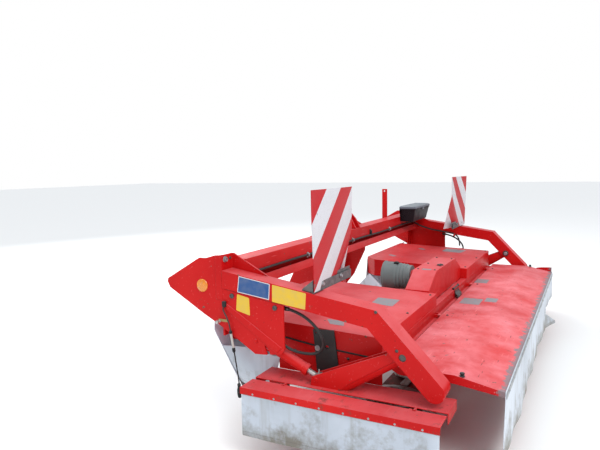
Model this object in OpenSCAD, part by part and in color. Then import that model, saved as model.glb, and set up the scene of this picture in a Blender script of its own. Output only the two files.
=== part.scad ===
// Folded disc mower for a three-point linkage, 3.2 m over its side guards.
// Millimetres. X across the machine, +Y towards the linkage, Z up, ground at Z 0.
// Pieces that come in pairs are drawn on the +X side and mirrored.

/* [Main frame] */
// Middle of the machine to the outer face of an arm
arm_face_x = 1470; // [1400:5:1600]
// Width of an arm's box section
arm_w = 96; // [80:1:120]
// Depth of an arm's box section
arm_depth = 80; // [60:1:100]
// Wall of an arm's box section
arm_wall = 8; // [5:0.5:12]
// Where an arm's top edge starts behind the cross beam, along Y
arm_back_y = 480; // [460:5:520]
// Height of an arm's top edge there
arm_back_z = 784; // [740:1:820]
// Bend of an arm, along Y
arm_bend_y = -275; // [-320:5:-220]
// Height of the bend's top edge
arm_bend_z = 675; // [650:1:700]
// Slope of an arm's lower leg
arm_leg_angle = 46; // [40:1:52]
// Length of an arm's lower leg along its top edge
arm_leg = 372; // [340:1:400]
// Distance from the bend to the pivot, along the leg
pivot_along = 200; // [160:1:240]
// Distance of the pivot from the leg's top edge
pivot_across = 47; // [36:1:55]
// Slope of a swing tube down to the end deck
swing_slope = 33; // [30:0.5:36]
// Radius of the pivot pins
pivot_r = 15; // [10:0.5:20]
// Thickness of the end plates
plate_t = 10; // [6:0.5:16]
// Step of an end plate behind the arm's outer face
plate_step = 4; // [1:0.5:12]
// Depth of the cross beam along Y
beam_d = 100; // [80:1:120]
// Height of the cross beam's box
beam_h = 75; // [60:1:90]
// Wall of the cross beam
beam_wall = 8; // [5:0.5:12]
// Height of the web between the cross beam's box and its lower lip
beam_web_h = 50; // [40:1:70]
// Reach of the end plates' tips behind the arms
tip_reach = 304; // [280:1:320]

/* [Headstock] */
// Lower hitch pins above the ground
hitch_z = 370; // [330:1:420]
// Lower hitch pins behind the middle, along Y
hitch_y = 720; // [690:1:745]
// Middle of the machine to the inner face of a hitch plate
hitch_in_x = 372; // [340:1:400]
// Radius of a lower hitch pin
hitch_pin_r = 14; // [11:0.5:18]
// Free length of a lower hitch pin
hitch_pin_l = 72; // [60:1:90]
// Height from the lower pins to the top link
mast_h = 610; // [560:1:650]
// Gap between the tower plates
mast_gap = 60; // [50:1:80]
// Radius of the top link hole
top_link_r = 12.8; // [10:0.1:16]
// Thickness of the headstock plates
head_t = 14; // [10:0.5:20]
// Width of a parking leg's square tube
leg_w = 50; // [40:1:60]
// Middle of the machine to a parking leg
leg_x = 310; // [280:1:330]

/* [Hoods] */
// Middle of the machine to a hood's end wall
hood_end_x = 1330; // [1280:5:1345]
// Middle of the machine to a hood half's inner wall
hood_gap_x = 420; // [400:5:480]
// Front of the rear hood along Y
hood_front_y = -250; // [-270:1:-230]
// Back of the rear hood along Y
hood_back_y = 520; // [480:5:535]
// Height of the rear hood's front edge
hood_z = 520; // [500:1:540]
// Rise of the rear hood towards the back, degrees
hood_slope = 2; // [0:0.1:3]
// Depth of the hood's front band
hood_band = 70; // [50:1:90]
// Depth of the hood's inner and back walls
hood_wall_h = 100; // [70:1:120]
// Sheet thickness of hoods, covers and guards
sheet = 4; // [2:0.5:6]
// Top of the centre cover
cover_z = 617; // [600:1:640]
// Half width of the centre cover's flat top
cover_top_x = 250; // [200:5:300]
// Front face of the centre cover along Y
cover_front_y = -206; // [-215:1:-190]
// Length of the centre cover along Y
cover_d = 139; // [120:1:160]
// Hinge line of the front guard along Y
guard_hinge_y = -268; // [-275:1:-264]
// Height of that hinge line
guard_hinge_z = 405; // [395:1:412]
// Front edge of the front guard along Y
guard_front_y = -739; // [-760:1:-700]
// Where the front guard bends down, along Y
guard_bend_y = -550; // [-580:5:-520]
// Drop of the front guard from its bend to its front edge
guard_drop = 35; // [20:1:50]

/* [Ends and side guards] */
// Top of the end decks and side guards
deck_z = 315; // [305:1:325]
// Back edge of the end decks along Y
deck_back_y = 290; // [260:5:300]
// Front edge of the end decks along Y
deck_front_y = -560; // [-580:5:-545]
// Hinge line of a side guard from the middle
side_hinge_x = 1490; // [1485:1:1500]
// Width of a side guard from its hinge line
side_guard_w = 110; // [100:5:150]
// Bottom of all skirts above the ground
skirt_z = 100; // [80:5:140]
// Thickness of the skirts
skirt_t = 4; // [3:0.5:6]

/* [Cutting unit] */
// Centre line of the discs along Y
disc_y = -140; // [-150:1:-130]
// Distance between disc centres
disc_pitch = 420; // [410:1:430]
// Half length of an oval disc
disc_a = 165; // [150:1:175]
// Half width of an oval disc
disc_b = 125; // [110:1:135]
// Radius of the blade tips
tip_r = 260; // [245:1:265]
// Height of the disc's plate
disc_z = 62; // [58:1:70]
// Width of the cutter bar along Y
bar_w = 260; // [230:1:290]
// Thickness of the cutter bar
bar_h = 38; // [30:1:40]
// Radius of the cutter bar's curved top
bar_top_r = 600; // [500:10:900]
// Radius of the long sides of an oval disc
disc_side_r = 260; // [220:5:320]
// Height of a disc's dome
disc_dome = 30; // [24:1:36]
// Thickness of a skid shoe
shoe_t = 8; // [6:0.5:12]
// Joint of the swing tube and the lift cylinder, along Y
lift_eye_y = 0; // [-20:1:20]
// Height of that joint
lift_eye_z = 342; // [340:1:350]
// Fixed pin of the lift cylinder, along Y
lift_base_y = 290; // [270:1:310]
// Height of the fixed pin
lift_base_z = 477; // [465:1:490]
// Radius of a lift cylinder's barrel
barrel_r = 24; // [20:0.5:27]
// Radius of a lift cylinder's rod
rod_r = 12; // [9:0.5:15]
// Radius of the lift cylinder's pins
lift_pin_r = 9; // [7:0.5:12]
// Radius of a swing tube
swing_r = 27; // [22:0.5:30]
// Height of the input shaft
shaft_z = 520; // [510:1:530]
// Radius of the input shaft
shaft_r = 17.5; // [15:0.1:22]
// Length of the input shaft's free end
shaft_free = 76; // [70:1:90]
// Outer radius of the shaft guard
shaft_guard_r = 90; // [80:1:100]
// Side of the carrier's square tube
carrier_w = 100; // [80:1:110]

/* [Boards and box] */
// Side of a warning board
board_w = 423; // [400:1:450]
// Bottom of a warning board
board_z = 722; // [715:1:740]
// Thickness of a warning board
board_t = 3; // [2:0.5:4]
// Gap between the document box and the arm
box_gap = 44; // [30:1:60]
// Document box length
box_w = 430; // [380:5:440]
// Document box depth along Y
box_d = 132; // [110:1:150]
// Document box height with its lid
box_h = 128; // [110:1:140]
// Hose holder from the middle
holder_x = 890; // [870:1:895]

/* [Clearances] */
// Running clearance round a pin
pin_gap = 0.1; // [0.05:0.01:0.3]
// Gap between pieces that only lie beside each other
side_gap = 0.3; // [0.2:0.1:1]
// Play of the rod's eye round its pin
eye_play = 5; // [4:0.5:8]

/* [Hidden] */
$fn = 48;

paint = "#d81f16";
canvas_colour = "#b9bec2";
steel = "#8f9498";
black = "#1c1d1f";

arm_in_x = arm_face_x - arm_w;
arm_mid_x = arm_face_x - arm_w / 2;
plate_out_x = arm_face_x - plate_step;
plate_in_x = plate_out_x - plate_t;
side_out_x = side_hinge_x + side_guard_w;

// Directions of the arm's upper and lower legs, and their inward normals
bend = [arm_bend_y, arm_bend_z];
back = [arm_back_y, arm_back_z];
dir_up = (back - bend) / norm(back - bend);
dir_leg = [-cos(arm_leg_angle), -sin(arm_leg_angle)];
norm_up = [dir_up[1], -dir_up[0]];
norm_leg = [-dir_leg[1], dir_leg[0]];
function inner_bend(t) = bend + t * (norm_up + norm_leg) / (1 + norm_up * norm_leg);
leg_end = bend + arm_leg * dir_leg;
end_centre = leg_end + arm_depth / 2 * norm_leg;
pivot = bend + pivot_along * dir_leg + pivot_across * norm_leg;
pivot_boss_r = pivot_r + 12;

tip_y = arm_back_y + tip_reach;
web_y = arm_back_y - 19;
web_top = arm_back_z + 67;
beam_y0 = arm_back_y - beam_d + 10;
beam_y1 = beam_y0 + beam_d;
beam_z1 = arm_back_z + 41;
beam_z0 = beam_z1 - beam_h;
lip_z = beam_z0 - beam_web_h;

lift_eye = [lift_eye_y, lift_eye_z];
lift_base = [lift_base_y, lift_base_z];
lift_l = norm(lift_base - lift_eye);
lift_angle = atan2(lift_base_z - lift_eye_z, lift_base_y - lift_eye_y);
barrel_start = 12;
collar_l = 18;
rod_stroke = 27;
ear_reach = 24;
barrel_l = lift_l - barrel_start - collar_l - rod_stroke - ear_reach - 5;
eye_r = lift_pin_r + 13;
rod_eye_r = lift_pin_r + eye_play + 8;
ear_gap = 44;
ear_t = 8;
port_y = lift_base_y - 36;
port_z = lift_base_z - 16;
swing_dir = [cos(swing_slope), -sin(swing_slope)];
pin_head_r = pivot_r + 8;
pin_recess = 6;

hood_rise = tan(hood_slope);
function hood_top(y) = hood_z + (y - hood_front_y) * hood_rise;
hood_corner = 90;
cover_foot_z = hood_top(cover_front_y) + 8;
band_z = hood_z - hood_band;
channel_back_y = hood_front_y + 30;
channel_z = guard_hinge_z - 17;
channel_half = hood_end_x - sheet - side_gap;
hinge_r = 9;
hinge_pin_r = 5;
hinge_xs = [-1100, -450, 450, 1100];
knuckle_l = 30;

bar_z0 = shoe_t + side_gap;
bar_z1 = bar_z0 + bar_h;
bar_end_x = 3 * disc_pitch + 150;
bar_crest_y = disc_y + 20;
station_r = 76;
hub_r = 45;
hub_z1 = disc_z - 5;
spindle_r = 18;
gearbox_z0 = 330;
gearbox_z1 = cover_z - 22;
gearbox_w = 220;
gearbox_d = cover_d - 24;
gearbox_y = cover_front_y + cover_d / 2;
carrier_y0 = 130;
carrier_z0 = hood_z - hood_wall_h - carrier_w - 2;
shaft_y0 = gearbox_y + gearbox_d / 2;
shaft_end_y = 165;
shaft_neck_r = shaft_r + 5;
guard_y0 = 25;
guard_y1 = 200;
guard_neck_r = shaft_guard_r - 16;
neck_r = 45;
hanger_x = arm_mid_x - 40;
hinge_back = 16;
wall_back_y = deck_back_y - 40;
seam_drop = 91;
seam_h = 5;
seam_line = [[hood_front_y + 28, hood_z - seam_drop], [-48, hood_z - seam_drop + 4],
  [69, hood_z - seam_drop + 20], [212, hood_z - seam_drop + 36]];
deck_w = side_hinge_x - hinge_back - hood_end_x;
flap_t = 8;

latch_up = 60;
leg_hole_r = 7;
board_x0 = arm_face_x - board_w;
board_y = 0;
leg_y = 660;
leg_top_z = lip_z - 12;
box_x = arm_in_x - box_gap - box_w;
box_y1 = beam_y0 - side_gap;
box_z0 = 787;
box_taper = 22;
lid_h = 22;
box_top = box_z0 + box_h - lid_h;
lid_pin_r = 3.5;
lid_knuckle_r = 6.5;
lid_axis_y = box_y1 + 9;
lid_axis_z = box_top + side_gap;
lid_hinge_xs = [box_x + 75, box_x + box_w - 75];

// A plate drawn in the Y and Z plane, from x0 on, t thick
module side_plate(pts, x0, t) {
  translate([x0, 0, 0]) rotate([90, 0, 90]) linear_extrude(t) polygon(pts);
}

// A round bar along X
module x_bar(x0, y, z, r, l) {
  translate([x0, y, z]) rotate([0, 90, 0]) cylinder(r = r, h = l);
}

module pair() {
  children();
  mirror([1, 0, 0]) children();
}

// Arm outline, inset by t on its long edges
function arm_pts(t, cut) = [back + t * norm_up + cut * dir_up, inner_bend(t), leg_end + t * norm_leg,
  leg_end + (arm_depth - t) * norm_leg, inner_bend(arm_depth - t),
  back + (arm_depth - t) * norm_up + cut * dir_up];

// Height of the arm's top and bottom edges behind the bend
function arm_top(y) = back[1] + (y - back[0]) * dir_up[1] / dir_up[0];
function arm_under(y) = arm_top(y) - arm_depth / dir_up[0];

// Filled arm, cut off square where the end plate's web closes it
module arm_solid(grow) {
  difference() {
    union() {
      side_plate(arm_pts(-grow, 0), arm_in_x, arm_w);
      x_bar(arm_in_x, end_centre[0], end_centre[1], arm_depth / 2 + grow, arm_w);
    }
    translate([arm_in_x - 1, web_y, arm_under(web_y) - 20]) cube([arm_w + 2, arm_depth, 2 * arm_depth]);
  }
}

// Box section arm whose lower leg is open underneath for the swing tube
module arm() {
  open_start = inner_bend(arm_depth) + 60 * dir_leg;
  difference() {
    arm_solid(0);
    side_plate(arm_pts(arm_wall, 1), arm_in_x + arm_wall, arm_w - 2 * arm_wall);
    side_plate([open_start - 70 * norm_leg, leg_end + arm_wall * norm_leg,
      leg_end + arm_depth * norm_leg + 60 * (norm_leg + dir_leg), open_start + 30 * norm_leg],
      arm_in_x + arm_wall, arm_w - 2 * arm_wall);
    x_bar(arm_in_x - 1, pivot[0], pivot[1], pivot_r + pin_gap, arm_w + 2);
  }
}

module end_plate() {
  ridge = 4;
  slot = 3;
  difference() {
    side_plate([back + [tip_reach, -77], back + [tip_reach - 4, -62], back + [110, 48], back + [71, 49],
      back + [23, 63], [web_y, web_top], [web_y, arm_under(web_y)], back + [-336, -100], back + [-334, -188],
      back + [-337, -325], back + [-320, -351], back + [-234, -364], back + [-186, -367], back + [-75, -301],
      back + [12, -253], back + [88, -216], back + [tip_reach - 14, -105]], plate_in_x, plate_t);
    arm_solid(1);
    x_bar(plate_in_x - 1, lift_base_y, lift_base_z, lift_pin_r + pin_gap, plate_t + 2);
    // Gap under the arm, and the slot in the lower edge
    side_plate([[web_y - 15, arm_under(web_y - 15) + 1], [arm_back_y - 340, arm_under(arm_back_y - 340) + 1],
      [arm_back_y - 340, arm_under(arm_back_y - 340) - slot], [web_y - 15, arm_under(web_y - 15) - slot]],
      plate_in_x - 1, plate_t + 2);
    side_plate([back + [-252, -375], back + [-270, -375], back + [-258, -342], back + [-240, -320],
      back + [-236, -326]], plate_in_x - 1, plate_t + 2);
  }
  // Pressed ridge from the arm's end down to the lower front corner
  side_plate([back + [-38, -152], back + [-325, -321], back + [-297, -347], back + [-38, -180]],
    plate_out_x - 1, ridge + 1);
  // Folded strip beside the arm's end, and the web that closes it
  side_plate([back + [17, 60], [web_y + 2, web_top], [web_y + 2, arm_back_z - 138], back + [17, -138]],
    plate_out_x - 1, 3);
  translate([arm_in_x, web_y, lift_base_z])
    cube([plate_in_x - arm_in_x + 1, 10, web_top - 1 - lift_base_z]);
  // Gusset on the arm's top face
  difference() {
    side_plate([[web_y + 9, web_top - 1], [web_y - 8, web_top - 1], [web_y - 190, arm_top(web_y - 190) + 1],
      [web_y - 190, arm_top(web_y - 190) - 10], [web_y + 9, arm_top(web_y) - 10]], arm_in_x, plate_t);
    arm_solid(0);
  }
}

module cross_beam() {
  half = arm_in_x;
  difference() {
    translate([-half, beam_y0, beam_z0]) cube([2 * half, beam_d, beam_h]);
    translate([-half - 1, beam_y0 + beam_wall, beam_z0 + beam_wall])
      cube([2 * half + 2, beam_d - 2 * beam_wall, beam_h - 2 * beam_wall]);
  }
  translate([-half, beam_y0 + 40, lip_z]) cube([2 * half, beam_wall + 2, beam_web_h]);
  translate([-half, beam_y0, lip_z - 10]) cube([2 * half, 40 + beam_wall + 2, 10]);
}

module pivot_pins() {
  pair() {
    x_bar(arm_in_x - 1, pivot[0], pivot[1], pivot_r, arm_w + 1 - pin_recess);
    x_bar(arm_in_x - 12, pivot[0], pivot[1], pin_head_r, 12 - side_gap);
  }
}

// Two tower plates with the top link hole, and their foot under the beam
module top_link_tower() {
  top_z = hitch_z + mast_h;
  top_y = beam_y1 + 70;
  for (s = [-1, 1]) {
    difference() {
      side_plate([[beam_y1, beam_z1 - 10], [beam_y1, lip_z], [beam_y1 + 70, lip_z], [top_y + 38, top_z - 30],
        [top_y + 38, top_z + 30], [top_y - 30, top_z + 30], [beam_y0 + 30, beam_z1 + 60],
        [beam_y0, beam_z1 + side_gap], [beam_y1, beam_z1 + side_gap]],
        s > 0 ? mast_gap / 2 : -mast_gap / 2 - head_t, head_t);
      x_bar(-mast_gap, top_y, top_z, top_link_r, 2 * mast_gap);
    }
  }
  translate([-mast_gap / 2 - 1, beam_y1 + 1, lip_z + 20]) cube([mast_gap + 2, 12, beam_z1 - lip_z - 60]);
  // Flat braces down to the beam's back face
  brace_t = 12;
  brace_w = 50;
  pair()
    translate([0, beam_y1 + side_gap + brace_t, 0]) rotate([90, 0, 0]) linear_extrude(brace_t)
      polygon([[mast_gap / 2 + 1, top_z - 60], [mast_gap / 2 + 1, top_z - 60 - brace_w],
        [hitch_in_x - brace_w, beam_z0 + 12], [hitch_in_x - 2, beam_z0 + 12],
        [hitch_in_x - 2, beam_z1 - 18]]);
}

module hitch_plate() {
  side_plate([[beam_y1, beam_z1 - 15], [beam_y1, hitch_z + 250], [beam_y1 + 90, hitch_z + 60],
    [hitch_y - 60, hitch_z - 40], [hitch_y + 20, hitch_z - 45],
    [hitch_y + 50, hitch_z - 15], [hitch_y + 50, hitch_z + 25], [hitch_y - 30, hitch_z + 190],
    [beam_y1 + 70, beam_z1 - 15]], hitch_in_x, head_t);
  x_bar(hitch_in_x + head_t - 1, hitch_y, hitch_z, hitch_pin_r + 9, 9);
  x_bar(hitch_in_x + head_t, hitch_y, hitch_z, hitch_pin_r, hitch_pin_l + 8);
}

// Guide under the beam that a parking leg slides in, joined to its hitch plate

module leg_guide() {
  wall = 6;
  gap = 0.5;
  out = leg_w + 2 * (wall + gap);
  difference() {
    union() {
      translate([leg_x - out / 2, leg_y - out / 2, hitch_z]) cube([out, out, 120]);
      translate([leg_x, leg_y - 20, hitch_z + 10]) cube([hitch_in_x - leg_x + 1, 40, 100]);
      // Boss of the leg's latch pin
      x_bar(leg_x - out / 2 - 14, leg_y, hitch_z + latch_up, leg_hole_r + 7, 15);
    }
    x_bar(leg_x - out / 2 - 15, leg_y, hitch_z + latch_up, leg_hole_r, out / 2);
    translate([leg_x - leg_w / 2 - gap, leg_y - leg_w / 2 - gap, hitch_z - 1])
      cube([leg_w + 2 * gap, leg_w + 2 * gap, 122]);
  }
}

module hitch_plates() {
  pair() {
    hitch_plate();
    leg_guide();
  }
  // Cross bar between the two hitch plates
  translate([-hitch_in_x - 1, beam_y1 + 75, lip_z - 50]) cube([2 * hitch_in_x + 2, 30, 40]);
}

module parking_leg() {
  foot_t = 8;
  wall = 4;
  translate([leg_x, leg_y, 0]) {
    difference() {
      translate([-leg_w / 2, -leg_w / 2, foot_t]) cube([leg_w, leg_w, leg_top_z - foot_t]);
      translate([-leg_w / 2 + wall, -leg_w / 2 + wall, foot_t + wall])
        cube([leg_w - 2 * wall, leg_w - 2 * wall, leg_top_z]);
      // Latch holes for the parked and the raised place
      for (drop = [0, 125, 250])
        x_bar(-leg_w, 0, hitch_z + latch_up - drop, leg_hole_r, 2 * leg_w);
    }
    translate([-55, -55, 0]) cube([110, 110, foot_t]);
  }
}

// Rest for the drive shaft, a bent rod off the left hitch plate
module shaft_hook() {
  translate([-hitch_in_x, hitch_y - 10, hitch_z + 110]) {
    rotate([0, 90, 0]) cylinder(r = 8, h = 120);
    translate([120, 0, -60]) cylinder(r = 8, h = 68);
    translate([120, 0, -60]) sphere(r = 8);
  }
}

module hose_holder() {
  translate([holder_x, beam_y1, beam_z1 - 70]) cube([38, 8, 250]);
  translate([holder_x - 8, beam_y1 + 8, beam_z1 + 150]) cube([54, 34, 8]);
}

module warning_boards() {
  pair() {
    translate([board_x0, board_y - board_t, board_z]) cube([board_w, board_t, board_w]);
  }
}

// Galvanised strip behind each board, with a foot on the arm's top face
module board_brackets() {
  foot_y = board_y + 56;
  seat = 6 * dir_up[1] / dir_up[0] + 0.6;
  lip_h = 40;
  strip_w = board_w - 30;
  pair() {
    // Channel round the board's bottom edge
    translate([board_x0 + 30, board_y + side_gap, board_z - 4]) cube([strip_w, 4, 54]);
    translate([board_x0 + 30, board_y - board_t - 4, board_z - 4])
      cube([strip_w, board_t + 7, 4 - side_gap]);
    translate([board_x0 + 30, board_y - board_t - side_gap - 3, board_z - 4]) cube([strip_w, 3, lip_h]);
    side_plate([[board_y + 4, arm_top(board_y) + seat], [foot_y, arm_top(foot_y) + seat],
      [foot_y, arm_top(foot_y) + seat + 6], [board_y + 4, board_z + 50]],
      arm_in_x + 10, arm_w - 20);
  }
}

// Solid whose plan grows evenly from its bottom to its top, with a plain back face
module tapered(x0, x1, y0, y1, z0, z1, grow) {
  hull() {
    translate([x0 + grow, y0 + grow, z0]) cube([x1 - x0 - 2 * grow, y1 - y0 - grow, 0.01]);
    translate([x0, y0, z1 - 0.01]) cube([x1 - x0, y1 - y0, 0.01]);
  }
}

// Black box on the beam's front, tapered on three sides, with the lid's hinge eyes
module document_box() {
  wall = 4;
  back_y = box_y1 - 0.01;
  difference() {
    tapered(box_x, box_x + box_w, box_y1 - box_d, back_y, box_z0, box_top, box_taper);
    tapered(box_x + wall, box_x + box_w - wall, box_y1 - box_d + wall, back_y - wall, box_z0 + wall,
      box_top + 1, box_taper);
  }
  // Rim round the mouth
  difference() {
    translate([box_x - 3, box_y1 - box_d - 3, box_top - 9]) cube([box_w + 6, box_d + 3 - side_gap, 5]);
    translate([box_x + wall, box_y1 - box_d + wall, box_top - 10])
      cube([box_w - 2 * wall, box_d - 2 * wall, 8]);
  }
  for (x = lid_hinge_xs)
    difference() {
      union() {
        x_bar(x - 12, lid_axis_y, lid_axis_z, lid_knuckle_r, 24);
        translate([x - 12, box_y1 - 3, lid_axis_z - 14]) cube([24, lid_axis_y - box_y1 + 3, 8]);
        translate([x - 12, lid_axis_y - 5, lid_axis_z - 10]) cube([24, 5, 8]);
      }
      x_bar(x - 13, lid_axis_y, lid_axis_z, lid_pin_r + pin_gap, 26);
    }
}

module box_lid() {
  z0 = box_top + side_gap;
  skirt = 4;
  difference() {
    hull() {
      translate([box_x - skirt, box_y1 - box_d - skirt, z0]) cube([box_w + 2 * skirt, box_d + skirt, 14]);
      translate([box_x + 10, box_y1 - box_d + 10, z0 + lid_h - 1]) cube([box_w - 20, box_d - 20, 1]);
    }
    translate([box_x + 4, box_y1 - box_d + 4, z0 - 1]) cube([box_w - 8, box_d - 10, 9]);
  }
  // Catch on the front, and the hinge pins with their eyes
  translate([box_x + box_w / 2 - 22, box_y1 - box_d - skirt - 4, z0 - 16]) cube([44, 5, 26]);
  for (x = lid_hinge_xs) {
    x_bar(x - 25, lid_axis_y, lid_axis_z, lid_pin_r, 50);
    for (side = [-25, 13]) {
      x_bar(x + side, lid_axis_y, lid_axis_z, lid_knuckle_r, 12);
      translate([x + side, box_y1 - 4, z0 + 2]) cube([12, lid_axis_y - box_y1 + 6, 4]);
    }
  }
}

// Cylinder laid from the lift cylinder's base towards the rod's eye, at the arm's middle
module along_lift(from_base, r, l) {
  translate([arm_mid_x, lift_base_y, lift_base_z]) rotate([90 + lift_angle, 0, 0])
    translate([0, 0, from_base]) cylinder(r = r, h = l);
}

module lift_cylinder() {
  reach = plate_in_x - arm_mid_x;
  difference() {
    union() {
      along_lift(barrel_start, barrel_r, barrel_l);
      along_lift(barrel_start + barrel_l, barrel_r + 3, collar_l);
      x_bar(arm_mid_x - 20, lift_base_y, lift_base_z, eye_r, 40);
      // Port of the hose near the fixed end
      translate([arm_mid_x - 11, port_y - 13, port_z]) cube([22, 26, barrel_r + 15]);
    }
    along_lift(barrel_l - 60, rod_r + pin_gap, 120);
  }
  // Pin through the end plate
  x_bar(arm_mid_x, lift_base_y, lift_base_z, lift_pin_r, reach + plate_t + 4);
}

module lift_rod() {
  difference() {
    union() {
      along_lift(barrel_l - 20, rod_r, lift_l - barrel_l + 24 - rod_eye_r);
      x_bar(arm_mid_x - 14, lift_eye_y, lift_eye_z, rod_eye_r, 28);
    }
    x_bar(arm_mid_x - 15, lift_eye_y, lift_eye_z, lift_pin_r + eye_play, 30);
  }
}

// Swing tube from the arm's pivot down to the end deck, between two gussets that carry the rod's pin
module swing_tube() {
  drop = pivot[1] - deck_z - side_gap;
  foot = pivot + drop / sin(swing_slope) * swing_dir;
  difference() {
    union() {
      translate([arm_mid_x, pivot[0], pivot[1]]) rotate([-90 - swing_slope, 0, 0])
        translate([0, 0, 8]) cylinder(r = swing_r, h = drop / sin(swing_slope) + 52);
      x_bar(arm_in_x + arm_wall + 2, pivot[0], pivot[1], pivot_boss_r, arm_w - 2 * arm_wall - 4);
      for (s = [-1, 1])
        side_plate([lift_eye + [26, -8], lift_eye + [20, 12], lift_eye + [-8, 25], pivot + [42, 14],
          pivot + 44 * swing_dir, pivot + 96 * swing_dir, foot + [-48, 32], [foot[0] - 12, foot[1]],
          [lift_eye_y + 26, foot[1]]],
          arm_mid_x + (s > 0 ? ear_gap / 2 : -ear_gap / 2 - ear_t), ear_t);
    }
    x_bar(arm_in_x, pivot[0], pivot[1], pivot_r + pin_gap, arm_w);
    translate([arm_mid_x - 60, lift_eye_y - 220, foot[1] - 120]) cube([120, 280, 120]);
  }
  x_bar(arm_mid_x - ear_gap / 2 - ear_t - 3, lift_eye_y, lift_eye_z, lift_pin_r, ear_gap + 2 * ear_t + 6);
}

// Shell of one hood half: plan outline cut by the sloped top
module hood_plan(t, z1) {
  translate([0, 0, z1]) linear_extrude(400)
    polygon([[hood_gap_x + t, hood_front_y + t], [hood_end_x - t, hood_front_y + t],
      [hood_end_x - t, hood_back_y - t], [hood_gap_x + hood_corner + t * 0.4, hood_back_y - t],
      [hood_gap_x + t, hood_back_y - hood_corner - t * 0.4]]);
}

module under_slope(drop, z0) {
  y0 = hood_front_y - 5;
  y1 = hood_back_y + 5;
  side_plate([[y0, z0], [y1, z0], [y1, hood_top(y1) - drop], [y0, hood_top(y0) - drop]],
    hood_gap_x - 5, hood_end_x - hood_gap_x + 10);
}

module hood_half() {
  wall_z = hood_z - hood_wall_h;
  difference() {
    intersection() {
      hood_plan(0, wall_z);
      under_slope(0, wall_z);
    }
    intersection() {
      hood_plan(sheet, wall_z - 5);
      under_slope(sheet, wall_z - 5);
    }
    // Front band is shallower than the other walls, with room for the hinge channel
    translate([hood_gap_x - 1, hood_front_y - 1, wall_z - 1])
      cube([hood_end_x - hood_gap_x - sheet + 1, channel_back_y - hood_front_y + 2,
        hood_wall_h - hood_band + 1]);
    // Seam where the end wall is lapped
    side_plate([for (p = seam_line) p, for (i = [3:-1:0]) seam_line[i] + [0, seam_h]],
      hood_end_x - sheet / 2, sheet);
    // Curved lower edge of the inner wall
    x_bar(hood_gap_x - 1, (hood_front_y + hood_back_y) / 2 + 60, wall_z - 170, 230, sheet + 2);
  }
  // End wall down to the deck
  side_plate([[hood_front_y, deck_z + side_gap], [wall_back_y, deck_z + side_gap],
    [wall_back_y, deck_z + 55],
    [hood_back_y - 60, wall_z + 1], [hood_front_y, wall_z + 1]], hood_end_x - sheet, sheet);
}

module centre_cover() {
  foot_z = band_z;
  module outline(t) {
    polygon([[-hood_gap_x + side_gap + t, foot_z - t * 10], [-hood_gap_x + side_gap + t, cover_foot_z - t],
      [-cover_top_x, cover_z - t], [cover_top_x, cover_z - t], [hood_gap_x - side_gap - t, cover_foot_z - t],
      [hood_gap_x - side_gap - t, foot_z - t * 10]]);
  }
  difference() {
    translate([0, cover_front_y + cover_d, 0]) rotate([90, 0, 0]) linear_extrude(cover_d) outline(0);
    translate([0, cover_front_y + cover_d - sheet, 0]) rotate([90, 0, 0])
      linear_extrude(cover_d - 2 * sheet) outline(sheet);
    translate([0, cover_front_y + cover_d + 1, shaft_z]) rotate([90, 0, 0])
      cylinder(r = neck_r + 14.5, h = sheet + 2);
  }
}

// Angle under the hood's front band, with the ears of the front guard's hinges
module hinge_channel() {
  z1 = band_z - side_gap;
  z0 = z1 - sheet;
  ear_t = 6;
  ledge_y = guard_hinge_y - 20;
  difference() {
    union() {
      side_plate([[hood_front_y, channel_z], [hood_front_y + sheet, channel_z], [hood_front_y + sheet, z1],
        [hood_front_y, z1]], -channel_half, 2 * channel_half);
      // Ledge that closes the gap behind the front guard
      side_plate([[ledge_y, channel_z], [hood_front_y + 1, channel_z], [hood_front_y + 1, channel_z + sheet],
        [ledge_y, channel_z + sheet]], -channel_half, 2 * channel_half);
      side_plate([[hood_front_y, z0], [channel_back_y, z0], [channel_back_y, z1], [hood_front_y, z1]],
        -channel_half, 2 * channel_half);
      side_plate([[cover_front_y - 2, z0], [cover_front_y - 2, z1], [hood_front_y, z1], [hood_front_y, z0]],
        -hood_gap_x, 2 * hood_gap_x);
      for (x = hinge_xs)
        for (s = [-1, 1])
          side_plate([[hood_front_y + 1, guard_hinge_z + hinge_r], [guard_hinge_y, guard_hinge_z + hinge_r],
            [guard_hinge_y - hinge_r, guard_hinge_z], [guard_hinge_y, guard_hinge_z - hinge_r],
            [hood_front_y + 1, guard_hinge_z - hinge_r]],
            x + (s > 0 ? knuckle_l / 2 + 2 : -knuckle_l / 2 - 2 - ear_t), ear_t);
    }
    for (x = hinge_xs)
      x_bar(x - knuckle_l, guard_hinge_y, guard_hinge_z, hinge_pin_r + pin_gap, 2 * knuckle_l);
  }
}

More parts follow.
